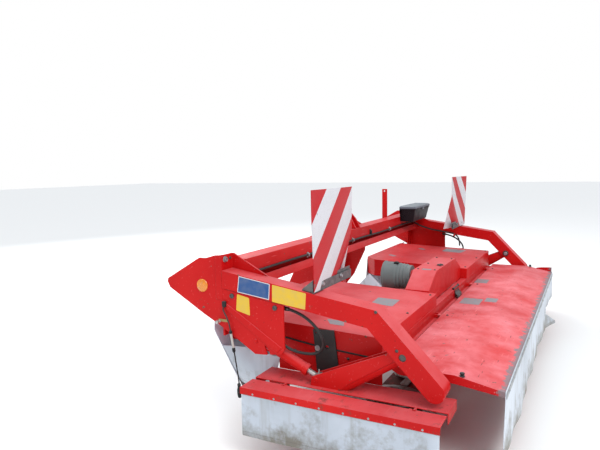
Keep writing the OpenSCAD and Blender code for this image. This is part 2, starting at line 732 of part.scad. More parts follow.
// Front guard: flat sheet bent down at its front, with end lips and hinge tongues
module front_hood() {
  top = guard_hinge_z + 4;
  back_y = guard_hinge_y - 16;
  front_z = top - guard_drop;
  lip = 22;
  crown = 2;
  side_plate([[back_y, top], [guard_bend_y, top + crown], [guard_front_y, front_z],
    [guard_front_y, front_z - lip], [guard_front_y + sheet, front_z - lip],
    [guard_front_y + sheet, front_z - sheet], [guard_bend_y, top + crown - sheet], [back_y, top - sheet]],
    -hood_end_x, 2 * hood_end_x);
  // End lips
  for (x = [-hood_end_x, hood_end_x - sheet])
    side_plate([[back_y, top], [guard_bend_y, top + crown], [guard_front_y, front_z],
      [guard_front_y, front_z - lip], [guard_bend_y, top - 34], [back_y - 40, top - 34], [back_y, top - 14]],
      x, sheet);
  // Tongues with their pins
  for (x = hinge_xs) {
    side_plate([[back_y - 60, top - sheet], [back_y - 60, top - sheet - 5],
      [guard_hinge_y - 4, guard_hinge_z - 8], [guard_hinge_y + 4, guard_hinge_z - 8],
      [guard_hinge_y + 8, guard_hinge_z], [guard_hinge_y, guard_hinge_z + 8], [back_y - 2, top - 1]],
      x - knuckle_l / 2, knuckle_l);
    x_bar(x - knuckle_l / 2 - 8, guard_hinge_y, guard_hinge_z, hinge_pin_r, knuckle_l + 16);
  }
}

// Canvas in front of the discs, with one lower corner pushed outwards
module front_skirt() {
  top_z = guard_hinge_z + 4 - guard_drop - side_gap;
  y = guard_front_y - side_gap;
  flap_x = 600;
  flap_w = 300;
  flap_angle = asin((tip_y + guard_front_y - side_gap - skirt_t) / flap_w);
  difference() {
    translate([-hood_end_x + 4, y - skirt_t, skirt_z]) cube([2 * hood_end_x - 8, skirt_t, top_z - skirt_z]);
    translate([flap_x, y - skirt_t - 1, skirt_z - 1]) cube([hood_end_x, skirt_t + 2, 101]);
  }
  translate([flap_x, y, skirt_z]) rotate([0, 0, -flap_angle]) translate([0, -skirt_t, 0])
    cube([flap_w, skirt_t, 110]);
}

module end_decks() {
  pair() {
    translate([hood_end_x, deck_front_y, deck_z - sheet])
      cube([deck_w, deck_back_y - deck_front_y, sheet]);
    translate([hood_end_x, deck_back_y - sheet, deck_z - 45])
      cube([deck_w, sheet, 45]);
    translate([hood_end_x, deck_front_y, deck_z - 45])
      cube([deck_w, sheet, 45]);
    // Hinge ears of the side guard
    for (y = [deck_front_y + 120, deck_back_y - 160])
      difference() {
        translate([side_hinge_x - hinge_back - 1, y, deck_z - 18]) cube([hinge_back + 9, 8, 18]);
        translate([side_hinge_x, y - 1, deck_z - 9]) rotate([-90, 0, 0])
          cylinder(r = hinge_pin_r + pin_gap, h = 10);
      }
  }
}

module side_guard() {
  difference() {
    union() {
      translate([side_hinge_x + 6, deck_front_y, deck_z - sheet])
        cube([side_out_x - side_hinge_x - 6, deck_back_y - deck_front_y, sheet]);
      translate([side_out_x - sheet, deck_front_y, deck_z - 30])
        cube([sheet, deck_back_y - deck_front_y, 30]);
    }
    for (y = [deck_front_y + 120, deck_back_y - 160])
      translate([side_hinge_x, y - 3, deck_z - 40]) cube([16, 14, 50]);
  }
  // Pins beside the ears
  for (y = [deck_front_y + 120, deck_back_y - 160]) {
    translate([side_hinge_x, y - 6, deck_z - 9]) rotate([-90, 0, 0]) cylinder(r = hinge_pin_r, h = 34);
    translate([side_hinge_x - 4, y + 12, deck_z - 14]) cube([30, 14, 12]);
  }
}

module side_skirt() {
  translate([side_out_x - sheet - skirt_t - side_gap, deck_front_y + 4, skirt_z])
    cube([skirt_t, deck_back_y - deck_front_y - 8, deck_z - sheet - side_gap - skirt_z]);
}

// Canvas behind the discs: one wide panel and two end panels
module rear_skirt() {
  y = hood_back_y + side_gap;
  top_z = hood_top(hood_back_y) - 6;
  x_out = plate_in_x - 6;
  x_in = hood_gap_x + hood_corner;
  low = skirt_z + 50;
  translate([0, y + skirt_t, 0]) rotate([90, 0, 0]) linear_extrude(skirt_t)
    polygon([[-x_out, top_z], [-x_in, top_z], [-x_in + 90, top_z - 140], [x_in - 190, top_z - 140],
      [x_in - 130, top_z - 105], [x_in - 90, top_z - 140], [x_in, top_z], [x_out, top_z],
      [x_out, top_z - 63], [hood_end_x - 88, low], [-hood_end_x + 88, low], [-x_out, top_z - 63]]);
  pair()
    side_plate([[deck_back_y + side_gap, skirt_z + 60], [hood_back_y - 4, skirt_z + 80],
      [hood_back_y - 4, hood_z - hood_wall_h + 40], [wall_back_y - 5, deck_z + 54],
      [wall_back_y - 5, deck_z + side_gap], [deck_back_y + side_gap, deck_z + side_gap]],
      hood_end_x + side_gap, skirt_t);
}

// Bar with a curved top and a slim leading edge, and a flanged hub under each disc
module cutter_bar() {
  half_w = bar_w / 2;
  intersection() {
    side_plate([[disc_y - half_w, bar_z0 + 8], [disc_y - half_w + 40, bar_z0],
      [disc_y + half_w - 20, bar_z0],
      [disc_y + half_w, bar_z0 + 12], [disc_y + half_w, bar_z1 + 1], [disc_y - half_w, bar_z1 + 1]],
      -bar_end_x, 2 * bar_end_x);
    x_bar(-bar_end_x - 1, bar_crest_y, bar_z1 - bar_top_r, bar_top_r, 2 * bar_end_x + 2, $fn = 720);
  }
  for (i = [-3:3])
    translate([i * disc_pitch, disc_y, bar_z1 - 8]) difference() {
      union() {
        cylinder(r = station_r, h = 10);
        cylinder(r = hub_r, h = hub_z1 - bar_z1 + 8);
      }
      translate([0, 0, 8]) cylinder(r = spindle_r + pin_gap, h = hub_z1);
    }
}

module skid_shoes() {
  w = disc_pitch - 150;
  front = disc_y - bar_w / 2;
  rear = disc_y + bar_w / 2 - 50;
  for (i = [-3:3])
    translate([i * disc_pitch - w / 2, 0, 0])
      side_plate([[front - 30, 26], [front - 4, 4], [front + 20, 0], [rear, 0], [rear, shoe_t],
        [front + 38, shoe_t], [front - 2, shoe_t + 8], [front - 24, 32]], 0, w);
}

// Oval plan of a disc: round ends, and long sides of a larger radius
module oval() {
  intersection() {
    circle(r = disc_a, $fn = 96);
    translate([0, disc_b - disc_side_r]) circle(r = disc_side_r, $fn = 96);
    translate([0, disc_side_r - disc_b]) circle(r = disc_side_r, $fn = 96);
  }
}

// Oval disc with a domed top, turned a quarter turn from its neighbours, and two swinging blades
module disc(i) {
  turn = i % 2 == 0 ? 90 : 0;
  blade_z = -3;
  blade_t = 4;
  bolt_x = disc_a - 28;
  translate([(i - 4) * disc_pitch, disc_y, disc_z]) rotate([0, 0, turn]) {
    intersection() {
      linear_extrude(disc_dome + 8) oval();
      rotate_extrude($fn = 64) polygon([[0, 0], [disc_a + 1, 0], [disc_a + 1, 5], [disc_a * 0.86, 7],
        [disc_a * 0.72, disc_dome * 0.4], [disc_a * 0.56, disc_dome * 0.68], [disc_a * 0.4, disc_dome * 0.9],
        [disc_a * 0.26, disc_dome], [0, disc_dome]]);
    }
    // Cap over the hub, with its bolted cover
    translate([0, 0, disc_dome - 1]) cylinder(r1 = 42, r2 = 38, h = 9);
    for (a = [45:90:315])
      rotate([0, 0, a]) translate([27, 0, disc_dome + 7]) cylinder(r = 6, h = 4, $fn = 6);
    translate([0, 0, hub_z1 - disc_z - 5]) cylinder(r = spindle_r, h = 12);
    if (i == 4) translate([0, 0, disc_dome]) cylinder(r = spindle_r, h = 99 - disc_dome);
    for (s = [0, 180])
      rotate([0, 0, s]) {
        translate([bolt_x, 0, blade_z]) cylinder(r = 16, h = 12);
        translate([bolt_x, 0, 8]) cylinder(r = 11, h = 7, $fn = 6);
        translate([0, 0, blade_z]) linear_extrude(blade_t)
          polygon([[bolt_x - 6, -19], [tip_r - 18, -24], [tip_r - 5, -15], [tip_r - 4, 14], [tip_r - 14, 22],
            [bolt_x - 6, 20], [bolt_x - 16, 8], [bolt_x - 16, -8]]);
      }
  }
}

// Gearbox under the centre cover, with a neck for the shaft and a ribbed housing down to the middle disc
module gearbox() {
  disc_top = disc_z + 40;
  drive_z0 = disc_top + 6;
  corner = 18;
  difference() {
    union() {
      translate([0, gearbox_y, gearbox_z0]) linear_extrude(gearbox_z1 - gearbox_z0)
        offset(r = corner) square([gearbox_w - 2 * corner, gearbox_d - 2 * corner], center = true);
      translate([0, shaft_y0 - 1, shaft_z]) rotate([-90, 0, 0])
        cylinder(r = neck_r, h = guard_y0 - shaft_y0);
      translate([0, shaft_y0 - 1, shaft_z]) rotate([-90, 0, 0]) cylinder(r = neck_r + 9, h = 10);
      translate([0, disc_y, drive_z0]) rotate_extrude()
        polygon([[0, 0], [62, 0], [62, 10], [50, 14], [56, 150], [80, gearbox_z0 - drive_z0 - 10],
          [98, gearbox_z0 - drive_z0 - 10], [98, gearbox_z0 - drive_z0 + 1],
          [0, gearbox_z0 - drive_z0 + 1]]);
      for (a = [30:60:330])
        translate([0, disc_y, drive_z0]) rotate([90, 0, a]) translate([0, 0, -4]) linear_extrude(8)
          polygon([[40, 12], [60, 12], [94, gearbox_z0 - drive_z0 - 6], [40, gearbox_z0 - drive_z0 - 6]]);
    }
    translate([0, disc_y, disc_top]) cylinder(r = spindle_r + pin_gap, h = 80);
    translate([0, shaft_y0 - 40, shaft_z]) rotate([-90, 0, 0])
      cylinder(r = shaft_neck_r + pin_gap, h = guard_y0 - shaft_y0 + 60);
  }
  // Flange to the carrier
  translate([-gearbox_w / 2 + 10, gearbox_y, gearbox_z0 + 10])
    cube([gearbox_w - 20, carrier_y0 - side_gap - gearbox_y, 16]);
  translate([-gearbox_w / 2 + 10, carrier_y0 - side_gap - 12, gearbox_z0])
    cube([gearbox_w - 20, 12, 80]);
}

// Shaft with a thicker neck in the gearbox and a free end for the yoke
module input_shaft() {
  neck_l = shaft_end_y - shaft_free - shaft_y0 + 30;
  translate([0, shaft_y0 - 30, shaft_z]) rotate([-90, 0, 0]) {
    cylinder(r = shaft_neck_r, h = neck_l);
    translate([0, 0, neck_l - 1]) cylinder(r = shaft_r, h = shaft_free + 1);
  }
}

// Rubber bell round the shaft: plain neck, three folds, a wide mouth with a rim
module shaft_guard() {
  wall = 5;
  y0 = guard_y0 - 10;
  long = guard_y1 - y0;
  r = shaft_guard_r;
  difference() {
    translate([0, y0, shaft_z]) rotate([-90, 0, 0]) rotate_extrude($fn = 64)
      polygon([[0, 0], [guard_neck_r, 0], [guard_neck_r, 26], [r - 10, 32], [r - 10, 40], [r - 14, 46],
        [r - 8, 54], [r - 8, 62], [r - 12, 68], [r - 5, 76], [r - 5, 84], [r - 8, 90], [r - 1, 100],
        [r, long - 12], [r + 4, long - 10], [r + 4, long], [0, long]]);
    translate([0, guard_y0 - 5, shaft_z]) rotate([-90, 0, 0])
      cylinder(r1 = guard_neck_r - wall, r2 = r - wall, h = long);
    translate([0, guard_y0 - 20, shaft_z]) rotate([-90, 0, 0]) cylinder(r = neck_r + side_gap, h = 30);
  }
}

// Square tube across the machine under the hoods, with its end plates
module carrier_tube() {
  wall = 6;
  half = channel_half;
  difference() {
    translate([-half, carrier_y0, carrier_z0]) cube([2 * half, carrier_w, carrier_w]);
    translate([-half - 1, carrier_y0 + wall, carrier_z0 + wall])
      cube([2 * half + 2, carrier_w - 2 * wall, carrier_w - 2 * wall]);
  }
}

// Plates that carry the bar's ends, dropped behind the outer discs
module bar_hangers() {
  foot_y = disc_y + bar_w / 2;
  top_z = deck_z - sheet - side_gap;
  pair()
    side_plate([[foot_y + side_gap, bar_z0], [foot_y + 230, bar_z0], [foot_y + 260, bar_z0 + 10],
      [foot_y + 280, top_z], [foot_y + 180, top_z], [foot_y + 165, bar_z1 + 30], [foot_y + 110, bar_z1],
      [foot_y + side_gap, bar_z1]], hanger_x, 14);
}

module rubber_flaps() {
  pair()
    difference() {
      side_plate([[52, deck_z + 21], [70, hood_z + 3], [-31, hood_z + 9], [-53, deck_z + 46]],
        hood_end_x + side_gap, flap_t);
      x_bar(hood_end_x - 1, 3, hood_z - 70, 6, flap_t + 12);
    }
}

// Swept tube of radius r along a list of points, with flat ends
function unit(v) = v / norm(v);
function tangent(p, i) = unit(p[min(i + 1, len(p) - 1)] - p[max(i - 1, 0)]);
function side_of(t) = unit(cross(t, abs(t[2]) < 0.9 ? [0, 0, 1] : [1, 0, 0]));
function ring(p, i, r, n) = let (t = tangent(p, i), u = side_of(t), v = cross(t, u))
  [for (k = [0:n - 1]) p[i] + r * (cos(360 * k / n) * u + sin(360 * k / n) * v)];

module sweep(p, r, n) {
  m = len(p);
  pts = [for (i = [0:m - 1]) each ring(p, i, r, n)];
  faces = concat([[for (k = [0:n - 1]) k]],
    [for (i = [0:m - 2], k = [0:n - 1])
      [i * n + k, (i + 1) * n + k, (i + 1) * n + (k + 1) % n, i * n + (k + 1) % n]],
    [[for (k = [n - 1:-1:0]) (m - 1) * n + k]]);
  polyhedron(points = pts, faces = faces, convexity = 4);
}

hose_pts = [[1440, 166, 634], [1440, 143, 632], [1440, 105, 624], [1440, 64, 609], [1440, 28, 587],
  [1438, 0, 560], [1432, -16, 533], [1422, -20, 506], [1412, -16, 480], [1405, -3, 458], [1402, 20, 441],
  [1405, 50, 434], [1414, 84, 436], [1428, 116, 445], [1438, 147, 461], [1438, 174, 477],
  [1431, 202, 488], [1424, 222, 491], [1422, 236, 491]];
cable_pts = [[-1300, 384.7, 756], [-900, 384.7, 756], [-450, 384.7, 756], [0, 384.7, 756],
  [450, 384.7, 756], [850, 384.7, 756], [1240, 384.7, 754], [1320, 380, 738], [1358, 350, 712],
  [1368.7, 300, 694], [1368.7, 240, 678], [1368.7, 150, 664], [1368.7, 60, 650], [1366, 20, 628],
  [1364, 2, 590], [1362, -2, 545]];
pull_pts = [[1474, 450, 628], [1475, 455, 606], [1476, 447, 588], [1477, 436, 572], [1478, 422, 540],
  [1478, 414, 500], [1478, 407, 462], [1478, 401, 430], [1478, 391, 370], [1478, 380, 300],
  [1478, 376, 262]];

// Lift hoses, each with its fitting under the arm
module hydraulic_hoses() {
  fit_y = 168;
  pair() {
    sweep(hose_pts, 6.5, 8);
    translate([1430, fit_y - 4, 622]) cube([20, 14, arm_under(fit_y - 4) - side_gap - 622]);
    translate([1440, fit_y - 22, hose_pts[0][2] - 1]) rotate([-90, 0, 0]) cylinder(r = 10, h = 20);
  }
}

module wiring_cable() {
  sweep(cable_pts, 5, 8);
}

module pull_cables() {
  top = pull_pts[0];
  pair() {
    sweep(pull_pts, 3, 8);
    x_bar(plate_out_x, top[1], top[2], 6, top[0] - plate_out_x + 4);
  }
}

color(paint) cross_beam();
color(paint) mirror([1, 0, 0]) end_plate();  // end_plate_left
color(paint) end_plate();  // end_plate_right
color(paint) mirror([1, 0, 0]) arm();  // arm_left
color(paint) arm();  // arm_right
color(steel) pivot_pins();
color(paint) top_link_tower();
color(paint) hitch_plates();
color(steel) shaft_hook();
color(paint) hose_holder();
color("#e8e6e2") warning_boards();
color(steel) board_brackets();
color(black) document_box();
color(black) box_lid();
color(steel) mirror([1, 0, 0]) parking_leg();  // parking_leg_left
color(steel) parking_leg();  // parking_leg_right
color(paint) mirror([1, 0, 0]) lift_cylinder();  // lift_cylinder_left
color(paint) lift_cylinder();  // lift_cylinder_right
color(steel) mirror([1, 0, 0]) lift_rod();  // lift_rod_left
color(steel) lift_rod();  // lift_rod_right
color(black) hydraulic_hoses();
color(black) wiring_cable();
color(black) pull_cables();
color(paint) cutter_bar();
color(steel) skid_shoes();
color(steel) disc(1);  // disc_1
color(steel) disc(2);  // disc_2
color(steel) disc(3);  // disc_3
color(steel) disc(4);  // disc_4
color(steel) disc(5);  // disc_5
color(steel) disc(6);  // disc_6
color(steel) disc(7);  // disc_7
color(paint) gearbox();
color(steel) input_shaft();
color("#5d6664") shaft_guard();
color(paint) carrier_tube();
color(paint) bar_hangers();
color(paint) end_decks();
color(paint) pair() swing_tube();  // swing_tubes
color(paint) mirror([1, 0, 0]) hood_half();  // rear_hood_left
color(paint) hood_half();  // rear_hood_right
color(paint) centre_cover();
color(paint) hinge_channel();
color(black) rubber_flaps();
color(canvas_colour) rear_skirt();
color(paint) front_hood();
color(canvas_colour) front_skirt();
color(paint) mirror([1, 0, 0]) side_guard();  // side_guard_left
color(paint) side_guard();  // side_guard_right
color(canvas_colour) mirror([1, 0, 0]) side_skirt();  // side_skirt_left
color(canvas_colour) side_skirt();  // side_skirt_right
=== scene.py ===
import bpy
import bmesh
import math
from mathutils import Matrix, Vector, noise


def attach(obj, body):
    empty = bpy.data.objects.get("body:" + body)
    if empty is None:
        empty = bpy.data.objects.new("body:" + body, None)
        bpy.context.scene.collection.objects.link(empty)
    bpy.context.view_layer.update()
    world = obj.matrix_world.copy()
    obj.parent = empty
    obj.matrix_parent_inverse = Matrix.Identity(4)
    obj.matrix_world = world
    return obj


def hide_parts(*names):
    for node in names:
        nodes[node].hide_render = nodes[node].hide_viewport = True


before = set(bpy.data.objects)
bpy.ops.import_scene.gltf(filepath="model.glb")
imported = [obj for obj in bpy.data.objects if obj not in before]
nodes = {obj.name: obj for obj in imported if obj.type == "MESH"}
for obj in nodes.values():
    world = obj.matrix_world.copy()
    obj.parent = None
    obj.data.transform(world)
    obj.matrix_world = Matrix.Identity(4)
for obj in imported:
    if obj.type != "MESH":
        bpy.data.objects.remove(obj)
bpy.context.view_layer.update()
bothEnds = ((1, "Right"), (-1, "Left"))
print("frame loaded with", len(nodes), "nodes")


# settings put on a new camera, node or modifier, and new data linked into the scene
def withSettings(thing, **settings):
    for key, value in settings.items():
        setattr(thing, key, value)
    return thing


def linked(name, data):
    obj = bpy.data.objects.new(name, data)
    bpy.context.scene.collection.objects.link(obj)
    return obj


# camera where the photograph was taken, off the mower's left end
cameraSet = {"place": (-3.4669, -1.008, 1.2321), "yaw": 28.03, "pitch": 5.82, "roll": -.988,
             "lens": 33.05, "sensor": 36, "reach": 60}


def makeCamera(s):
    yaw, pitch, roll = (math.radians(s[k]) for k in ("yaw", "pitch", "roll"))
    ahead = Vector((math.cos(pitch) * math.cos(yaw), math.cos(pitch) * math.sin(yaw), -math.sin(pitch)))
    right = Vector((math.sin(yaw), -math.cos(yaw), 0))
    up = right.cross(ahead)
    tiltRight = right * math.cos(roll) + up * math.sin(roll)
    tiltUp = up * math.cos(roll) - right * math.sin(roll)
    lens = bpy.data.cameras.new("photoCamera")
    cam = linked("photoCamera", withSettings(lens, lens=s["lens"], sensor_width=s["sensor"], clip_end=s["reach"]))
    turn = Matrix((tiltRight, tiltUp, -ahead)).transposed()
    cam.matrix_world = Matrix.Translation(s["place"]) @ turn.to_4x4()
    bpy.context.scene.camera = cam


makeCamera(cameraSet)
print("camera set")


# the node tree of a material or world, with short ways to add to it
class nodeKit:
    def __init__(self, owner):
        owner.use_nodes = True
        owner.node_tree.nodes.clear()
        self.owner = owner
        self.tree = owner.node_tree

    def add(self, kind, inputs=None, **settings):
        n = withSettings(self.tree.nodes.new("ShaderNode" + kind), **settings)
        for key, value in (inputs or {}).items():
            if isinstance(value, bpy.types.NodeSocket):
                self.tree.links.new(value, n.inputs[key])
            else:
                n.inputs[key].default_value = value
        return n.outputs

    def split(self, vector):
        return self.add("SeparateXYZ", {0: vector})

    def fade(self, value, low, high, toLow=0.0, toHigh=1.0):
        inputs = {"Value": value, "From Min": low, "From Max": high, "To Min": toLow, "To Max": toHigh}
        return self.add("MapRange", inputs)[0]

    def sums(self, kind, a, b=0.0):
        return self.add("Math", {0: a, 1: b}, operation=kind)[0]

    def plus(self, a, b):
        return self.sums("ADD", a, b)

    def minus(self, a, b):
        return self.sums("SUBTRACT", a, b)

    def times(self, a, b):
        return self.sums("MULTIPLY", a, b)


# a material under way: its nodes, and the colour laid down so far
class lookKit(nodeKit):
    def __init__(self, name):
        super().__init__(bpy.data.materials.new(name))
        self.here = self.coords()
        self.colour = None

    def place(self):
        return self.add("TexCoord")["Object"]

    def coords(self, scale=(1, 1, 1), turn=(0, 0, 0)):
        return self.add("Mapping", {"Vector": self.place(), "Scale": scale, "Rotation": turn})[0]

    def grain(self, scale, detail, rough=.55, twist=0.0, coords=None):
        inputs = {"Vector": coords or self.here, "Scale": scale, "Detail": detail, "Roughness": rough,
                  "Distortion": twist}
        return self.add("TexNoise", inputs)["Fac"]

    def spots(self, grain, steps, coords=None):
        # noise of that scale, detail and roughness, cut between two levels
        return self.fade(self.grain(*grain, coords=coords), *steps)

    def cells(self, scale):
        return self.add("TexVoronoi", {"Vector": self.here, "Scale": scale}, feature="DISTANCE_TO_EDGE")[0]

    def edge(self, reach):
        # how far the rounded normal leaves the flat one: high on an outer edge
        soft = self.add("Bevel", {"Radius": reach}, samples=4)[0]
        flat = self.add("NewGeometry")["Normal"]
        return self.minus(1.0, self.add("VectorMath", {0: soft, 1: flat}, operation="DOT_PRODUCT")["Value"])

    def upward(self):
        return self.fade(self.split(self.add("NewGeometry")["Normal"])["Z"], .35, 1.0)

    def height(self, low, high):
        return self.fade(self.split(self.place())["Z"], low, high)

    def blend(self, amount, a, b):
        a, b = (c if isinstance(c, bpy.types.NodeSocket) else (*c, 1) for c in (a, b))
        return self.add("Mix", {0: amount, 6: a, 7: b}, data_type="RGBA")[2]

    def start(self, grain, steps, a, b):
        # two tones in soft blotches
        self.colour = self.blend(self.spots(grain, steps), a, b)

    def cover(self, amount, tone):
        self.colour = self.blend(amount, self.colour, tone)

    def bump(self, height, strength, distance, under=None):
        inputs = {"Height": height, "Strength": strength, "Distance": distance}
        if under is not None:
            inputs["Normal"] = under
        return self.add("Bump", inputs)[0]

    def end(self, rough, normal=None, others=None):
        inputs = {"Base Color": self.colour, "Roughness": rough, **(others or {})}
        if normal is not None:
            inputs["Normal"] = normal
        self.add("OutputMaterial", {0: self.add("BsdfPrincipled", inputs)[0]})
        return self.owner


def tinted(colour, gain, lift=0.0):
    return tuple(min(1, c * gain + lift) for c in colour)


# red paint of the whole machine: weathered, paler on top with dust and a painted sky sheen, chipped at the edges
paintSet = {"deep": (.47, .004, .006), "fresh": (.62, .012, .011), "dust": (.84, .27, .3),
            "rub": (.8, .2, .2), "scratch": (.19, .035, .035), "speck": (.1, .012, .01),
            "mud": (.085, .062, .045), "bare": (.2, .17, .155), "rust": (.13, .036, .013),
            "worn": (.185, .195, .21)}


def makePaint(name, sheenAndDustCover, wear=.5, mudTop=.42, scuffs=.3, wornFrom=None):
    s, m = paintSet, lookKit(name)
    m.start((1.7, 3), (.3, .7), s["deep"], s["fresh"])
    # fine film of dust where rain dries, with a painted sky sheen: faces turned up go paler pink as if lit by the
    # sky
    film = m.times(m.upward(), m.spots((5.5, 6, .65), (.35, .75, .15, sheenAndDustCover)))
    m.cover(film, s["dust"])
    # long rubs along the machine
    m.cover(m.spots((2.0, 2), (.66, .74, 0, scuffs), m.coords((3, 55, 40), (0, .35, .5))), s["rub"])
    m.cover(m.spots((1.7, 2), (.7, .73, 0, scuffs), m.coords((7, 60, 60), (0, 0, .12))), s["scratch"])
    # dark specks of dried splashes
    m.cover(m.times(m.spots((75, 2), (.7, .74, 0, .75)), m.spots((3.1, 3), (.42, .62))), s["speck"])
    # mud on what runs close to the ground
    low = m.times(m.height(mudTop, .02), .34)
    splash = m.fade(m.plus(m.grain(14, 8, .7), low), .66, .8, 0, .85)
    m.cover(splash, s["mud"])
    # chips on the edges, with a rim of rust
    edge = m.times(m.fade(m.edge(.004), .02, .16), m.spots((24, 5, .7), (.6 - .12 * wear, .68)))
    bare = m.sums("MAXIMUM", edge, m.spots((31, 3), (.715 - .02 * wear, .735)))
    m.cover(bare, m.blend(m.spots((60, 2), (.4, .6)), s["bare"], s["rust"]))
    if wornFrom is not None:
        # paint rubbed through along the front edge, in blotches
        ragged = m.plus(m.split(m.place())["Y"], m.times(m.grain(26, 7, .75), .14))
        m.cover(m.fade(ragged, wornFrom, wornFrom - .006, 0, .85), s["worn"])
    dry = m.times(m.sums("MAXIMUM", film, splash), .25)
    rough = m.plus(m.plus(m.spots((9, 4), (.3, .7, .3, .44)), dry), m.times(bare, .2))
    sheetWave = m.bump(m.grain(2.6, 1), .12, .012)
    peel = m.minus(m.grain(330, 2), m.times(bare, .7))
    return m.end(rough, m.bump(peel, .12, .0008, sheetWave),
                 {"Coat Weight": .03, "Coat Roughness": .25, "Specular IOR Level": .13})


zincSet = {"dark": (.3, .31, .325), "light": (.46, .47, .485), "stain": (.19, .175, .155)}


def makeZinc(name, shade=1.0):
    s, m = zincSet, lookKit(name)
    flakes = m.add("TexVoronoi", {"Vector": m.here, "Scale": 70.0})["Color"]
    tone = m.fade(m.add("SeparateColor", {0: flakes})[0], 0, 1)
    m.colour = m.blend(tone, tinted(s["dark"], shade), tinted(s["light"], shade))
    m.cover(m.spots((12, 6, .7), (.52, .7, 0, .7)), s["stain"])
    rough = m.spots((30, 3), (.3, .7, .36, .6))
    return m.end(rough, m.bump(m.grain(150, 3), .15, .001), {"Metallic": .85})


steelSet = {"base": (.52, .51, .49), "rust": (.21, .075, .026), "deepRust": (.075, .034, .02)}


def makeSteel(name, bright, rusty):
    s, m = steelSet, lookKit(name)
    streak = m.grain(3, 4, coords=m.coords((6, 90, 90)))
    base = tinted(s["base"], bright)
    m.colour = m.blend(m.fade(streak, .35, .65), base, tinted(base, .72))
    rust = m.spots((16, 8, .72), (.66 - rusty * .28, .78 - rusty * .16, 0, .92))
    rust = m.times(rust, m.minus(1.0, m.fade(m.edge(.004), .03, .2, 0, .9)))
    m.cover(rust, m.blend(m.grain(48, 4), s["rust"], s["deepRust"]))
    rough = m.plus(m.fade(streak, .3, .7, .24, .42), m.times(rust, .4))
    return m.end(rough, m.bump(m.plus(rust, m.grain(200, 3)), .2, .001), {"Metallic": .8})


def makePlastic(name, colour, rough, grain=420.0, dust=.25, sheen=.2):
    m = lookKit(name)
    m.start((4, 4), (.3, .7), colour, tinted(colour, 1.35, .004))
    # dust on faces turned up, with a painted sky sheen: their tops go paler grey
    film = m.times(m.upward(), m.spots((11, 5, .65), (.35, .7, .1, dust)))
    m.cover(film, (.3, .31, .31))
    m.cover(m.fade(m.edge(.003), .05, .3, 0, .5), tinted(colour, 2, .05))
    matt = m.plus(m.spots((20, 3), (.3, .7, rough - .06, rough + .08)), m.times(film, .3))
    return m.end(matt, m.bump(m.grain(grain, 2), .25, .0006), {"Specular IOR Level": sheen})


rubberSet = {"black": (.012, .012, .013), "grey": (.032, .031, .03), "dry": (.085, .078, .07)}


def makeRubber(name):
    s, m = rubberSet, lookKit(name)
    m.start((7, 5), (.35, .7), s["black"], s["grey"])
    dry = m.spots((22, 6, .7), (.55, .75, 0, .5))
    m.cover(dry, s["dry"])
    return m.end(m.fade(dry, 0, 1, .55, .85), m.bump(m.grain(260, 3), .2, .0006))


# coated canvas of the skirts: plain weave seen close up, dirty along the bottom
canvasSet = {"clean": (.61, .67, .75), "shade": (.42, .47, .53), "soil": (.17, .145, .1),
             "run": (.3, .3, .285), "stitch": (.1, .1, .1), "thread": 1500.0, "hem": .024,
             "row": .0011, "stitches": 160.0, "stitchPart": .62, "glow": (.006, .006, .006)}


def makeCanvas(name):
    s, m = canvasSet, lookKit(name)
    along, up = m.split(m.add("UVMap", uv_map="cloth")[0])[:2]
    warp, weft = (m.sums("SINE", m.times(way, s["thread"])) for way in (along, up))
    weave = m.times(warp, weft)
    m.start((2.2, 5, .6), (.35, .7), s["clean"], s["shade"])
    # water marks run down, soil sits on the lowest hand's breadth
    m.cover(m.spots((1.0, 4), (.55, .72, 0, .45), m.coords((26, 26, 1.6))), s["run"])
    low = m.times(m.height(.3, .09), .3)
    soil = m.fade(m.plus(m.grain(9, 8, .7), low), .6, .86, 0, .85)
    m.cover(soil, s["soil"])
    # hem along the free edge with one row of stitches
    hem = m.sums("LESS_THAN", up, s["hem"])
    row = m.sums("LESS_THAN", m.sums("ABSOLUTE", m.minus(up, s["hem"] * .8)), s["row"])
    share = m.sums("FRACT", m.times(along, s["stitches"]))
    stitch = m.times(row, m.sums("LESS_THAN", share, s["stitchPart"]))
    m.cover(m.times(hem, .16), s["soil"])
    m.cover(m.times(stitch, .6), s["stitch"])
    weave = m.plus(weave, m.plus(m.times(hem, 3.0), stitch))
    crease = m.bump(m.grain(5.5, 3, .5, .8), .5, .01)
    return m.end(m.fade(soil, 0, 1, .52, .88), m.bump(weave, .25, .0004, crease), {
        "Sheen Weight": .15, "Subsurface Weight": .5, "Subsurface Radius": s["glow"], "Subsurface Scale": 1.0})


# board sheeting: white with red bars at 45 degrees, glass-bead grain under the skin
skinSet = {"pitch": .282, "white": (.66, .675, .71), "red": (.5, .008, .014),
           "stroke": (.13, .11, .11), "film": (.36, .34, .33)}


def makeBoardSkin(name, cornerX, cornerZ, lean):
    s, m = skinSet, lookKit(name)
    parts = m.split(m.here)
    across = m.plus(m.times(m.minus(parts["X"], cornerX), lean), m.minus(cornerZ, parts["Z"]))
    red = m.sums("LESS_THAN", m.sums("FRACT", m.sums("DIVIDE", across, s["pitch"])), .5)
    cells = m.cells(240.0)
    colour = m.blend(red, s["white"], s["red"])
    net = m.fade(cells, .03, .12, .84, 1.0)
    m.colour = m.add("VectorMath", {0: colour, 3: net}, operation="SCALE")[0]
    # handling marks: short dark strokes and grey rubs
    m.cover(m.spots((1.6, 3), (.7, .73, 0, .85), m.coords((60, 60, 16))), s["stroke"])
    film = m.spots((6.5, 6, .7), (.45, .75, 0, .12))
    m.cover(film, s["film"])
    return m.end(m.fade(film, 0, .12, .4, .6), m.bump(cells, .1, .0005),
                 {"Coat Weight": .04, "Coat Roughness": .2, "Specular IOR Level": .2})


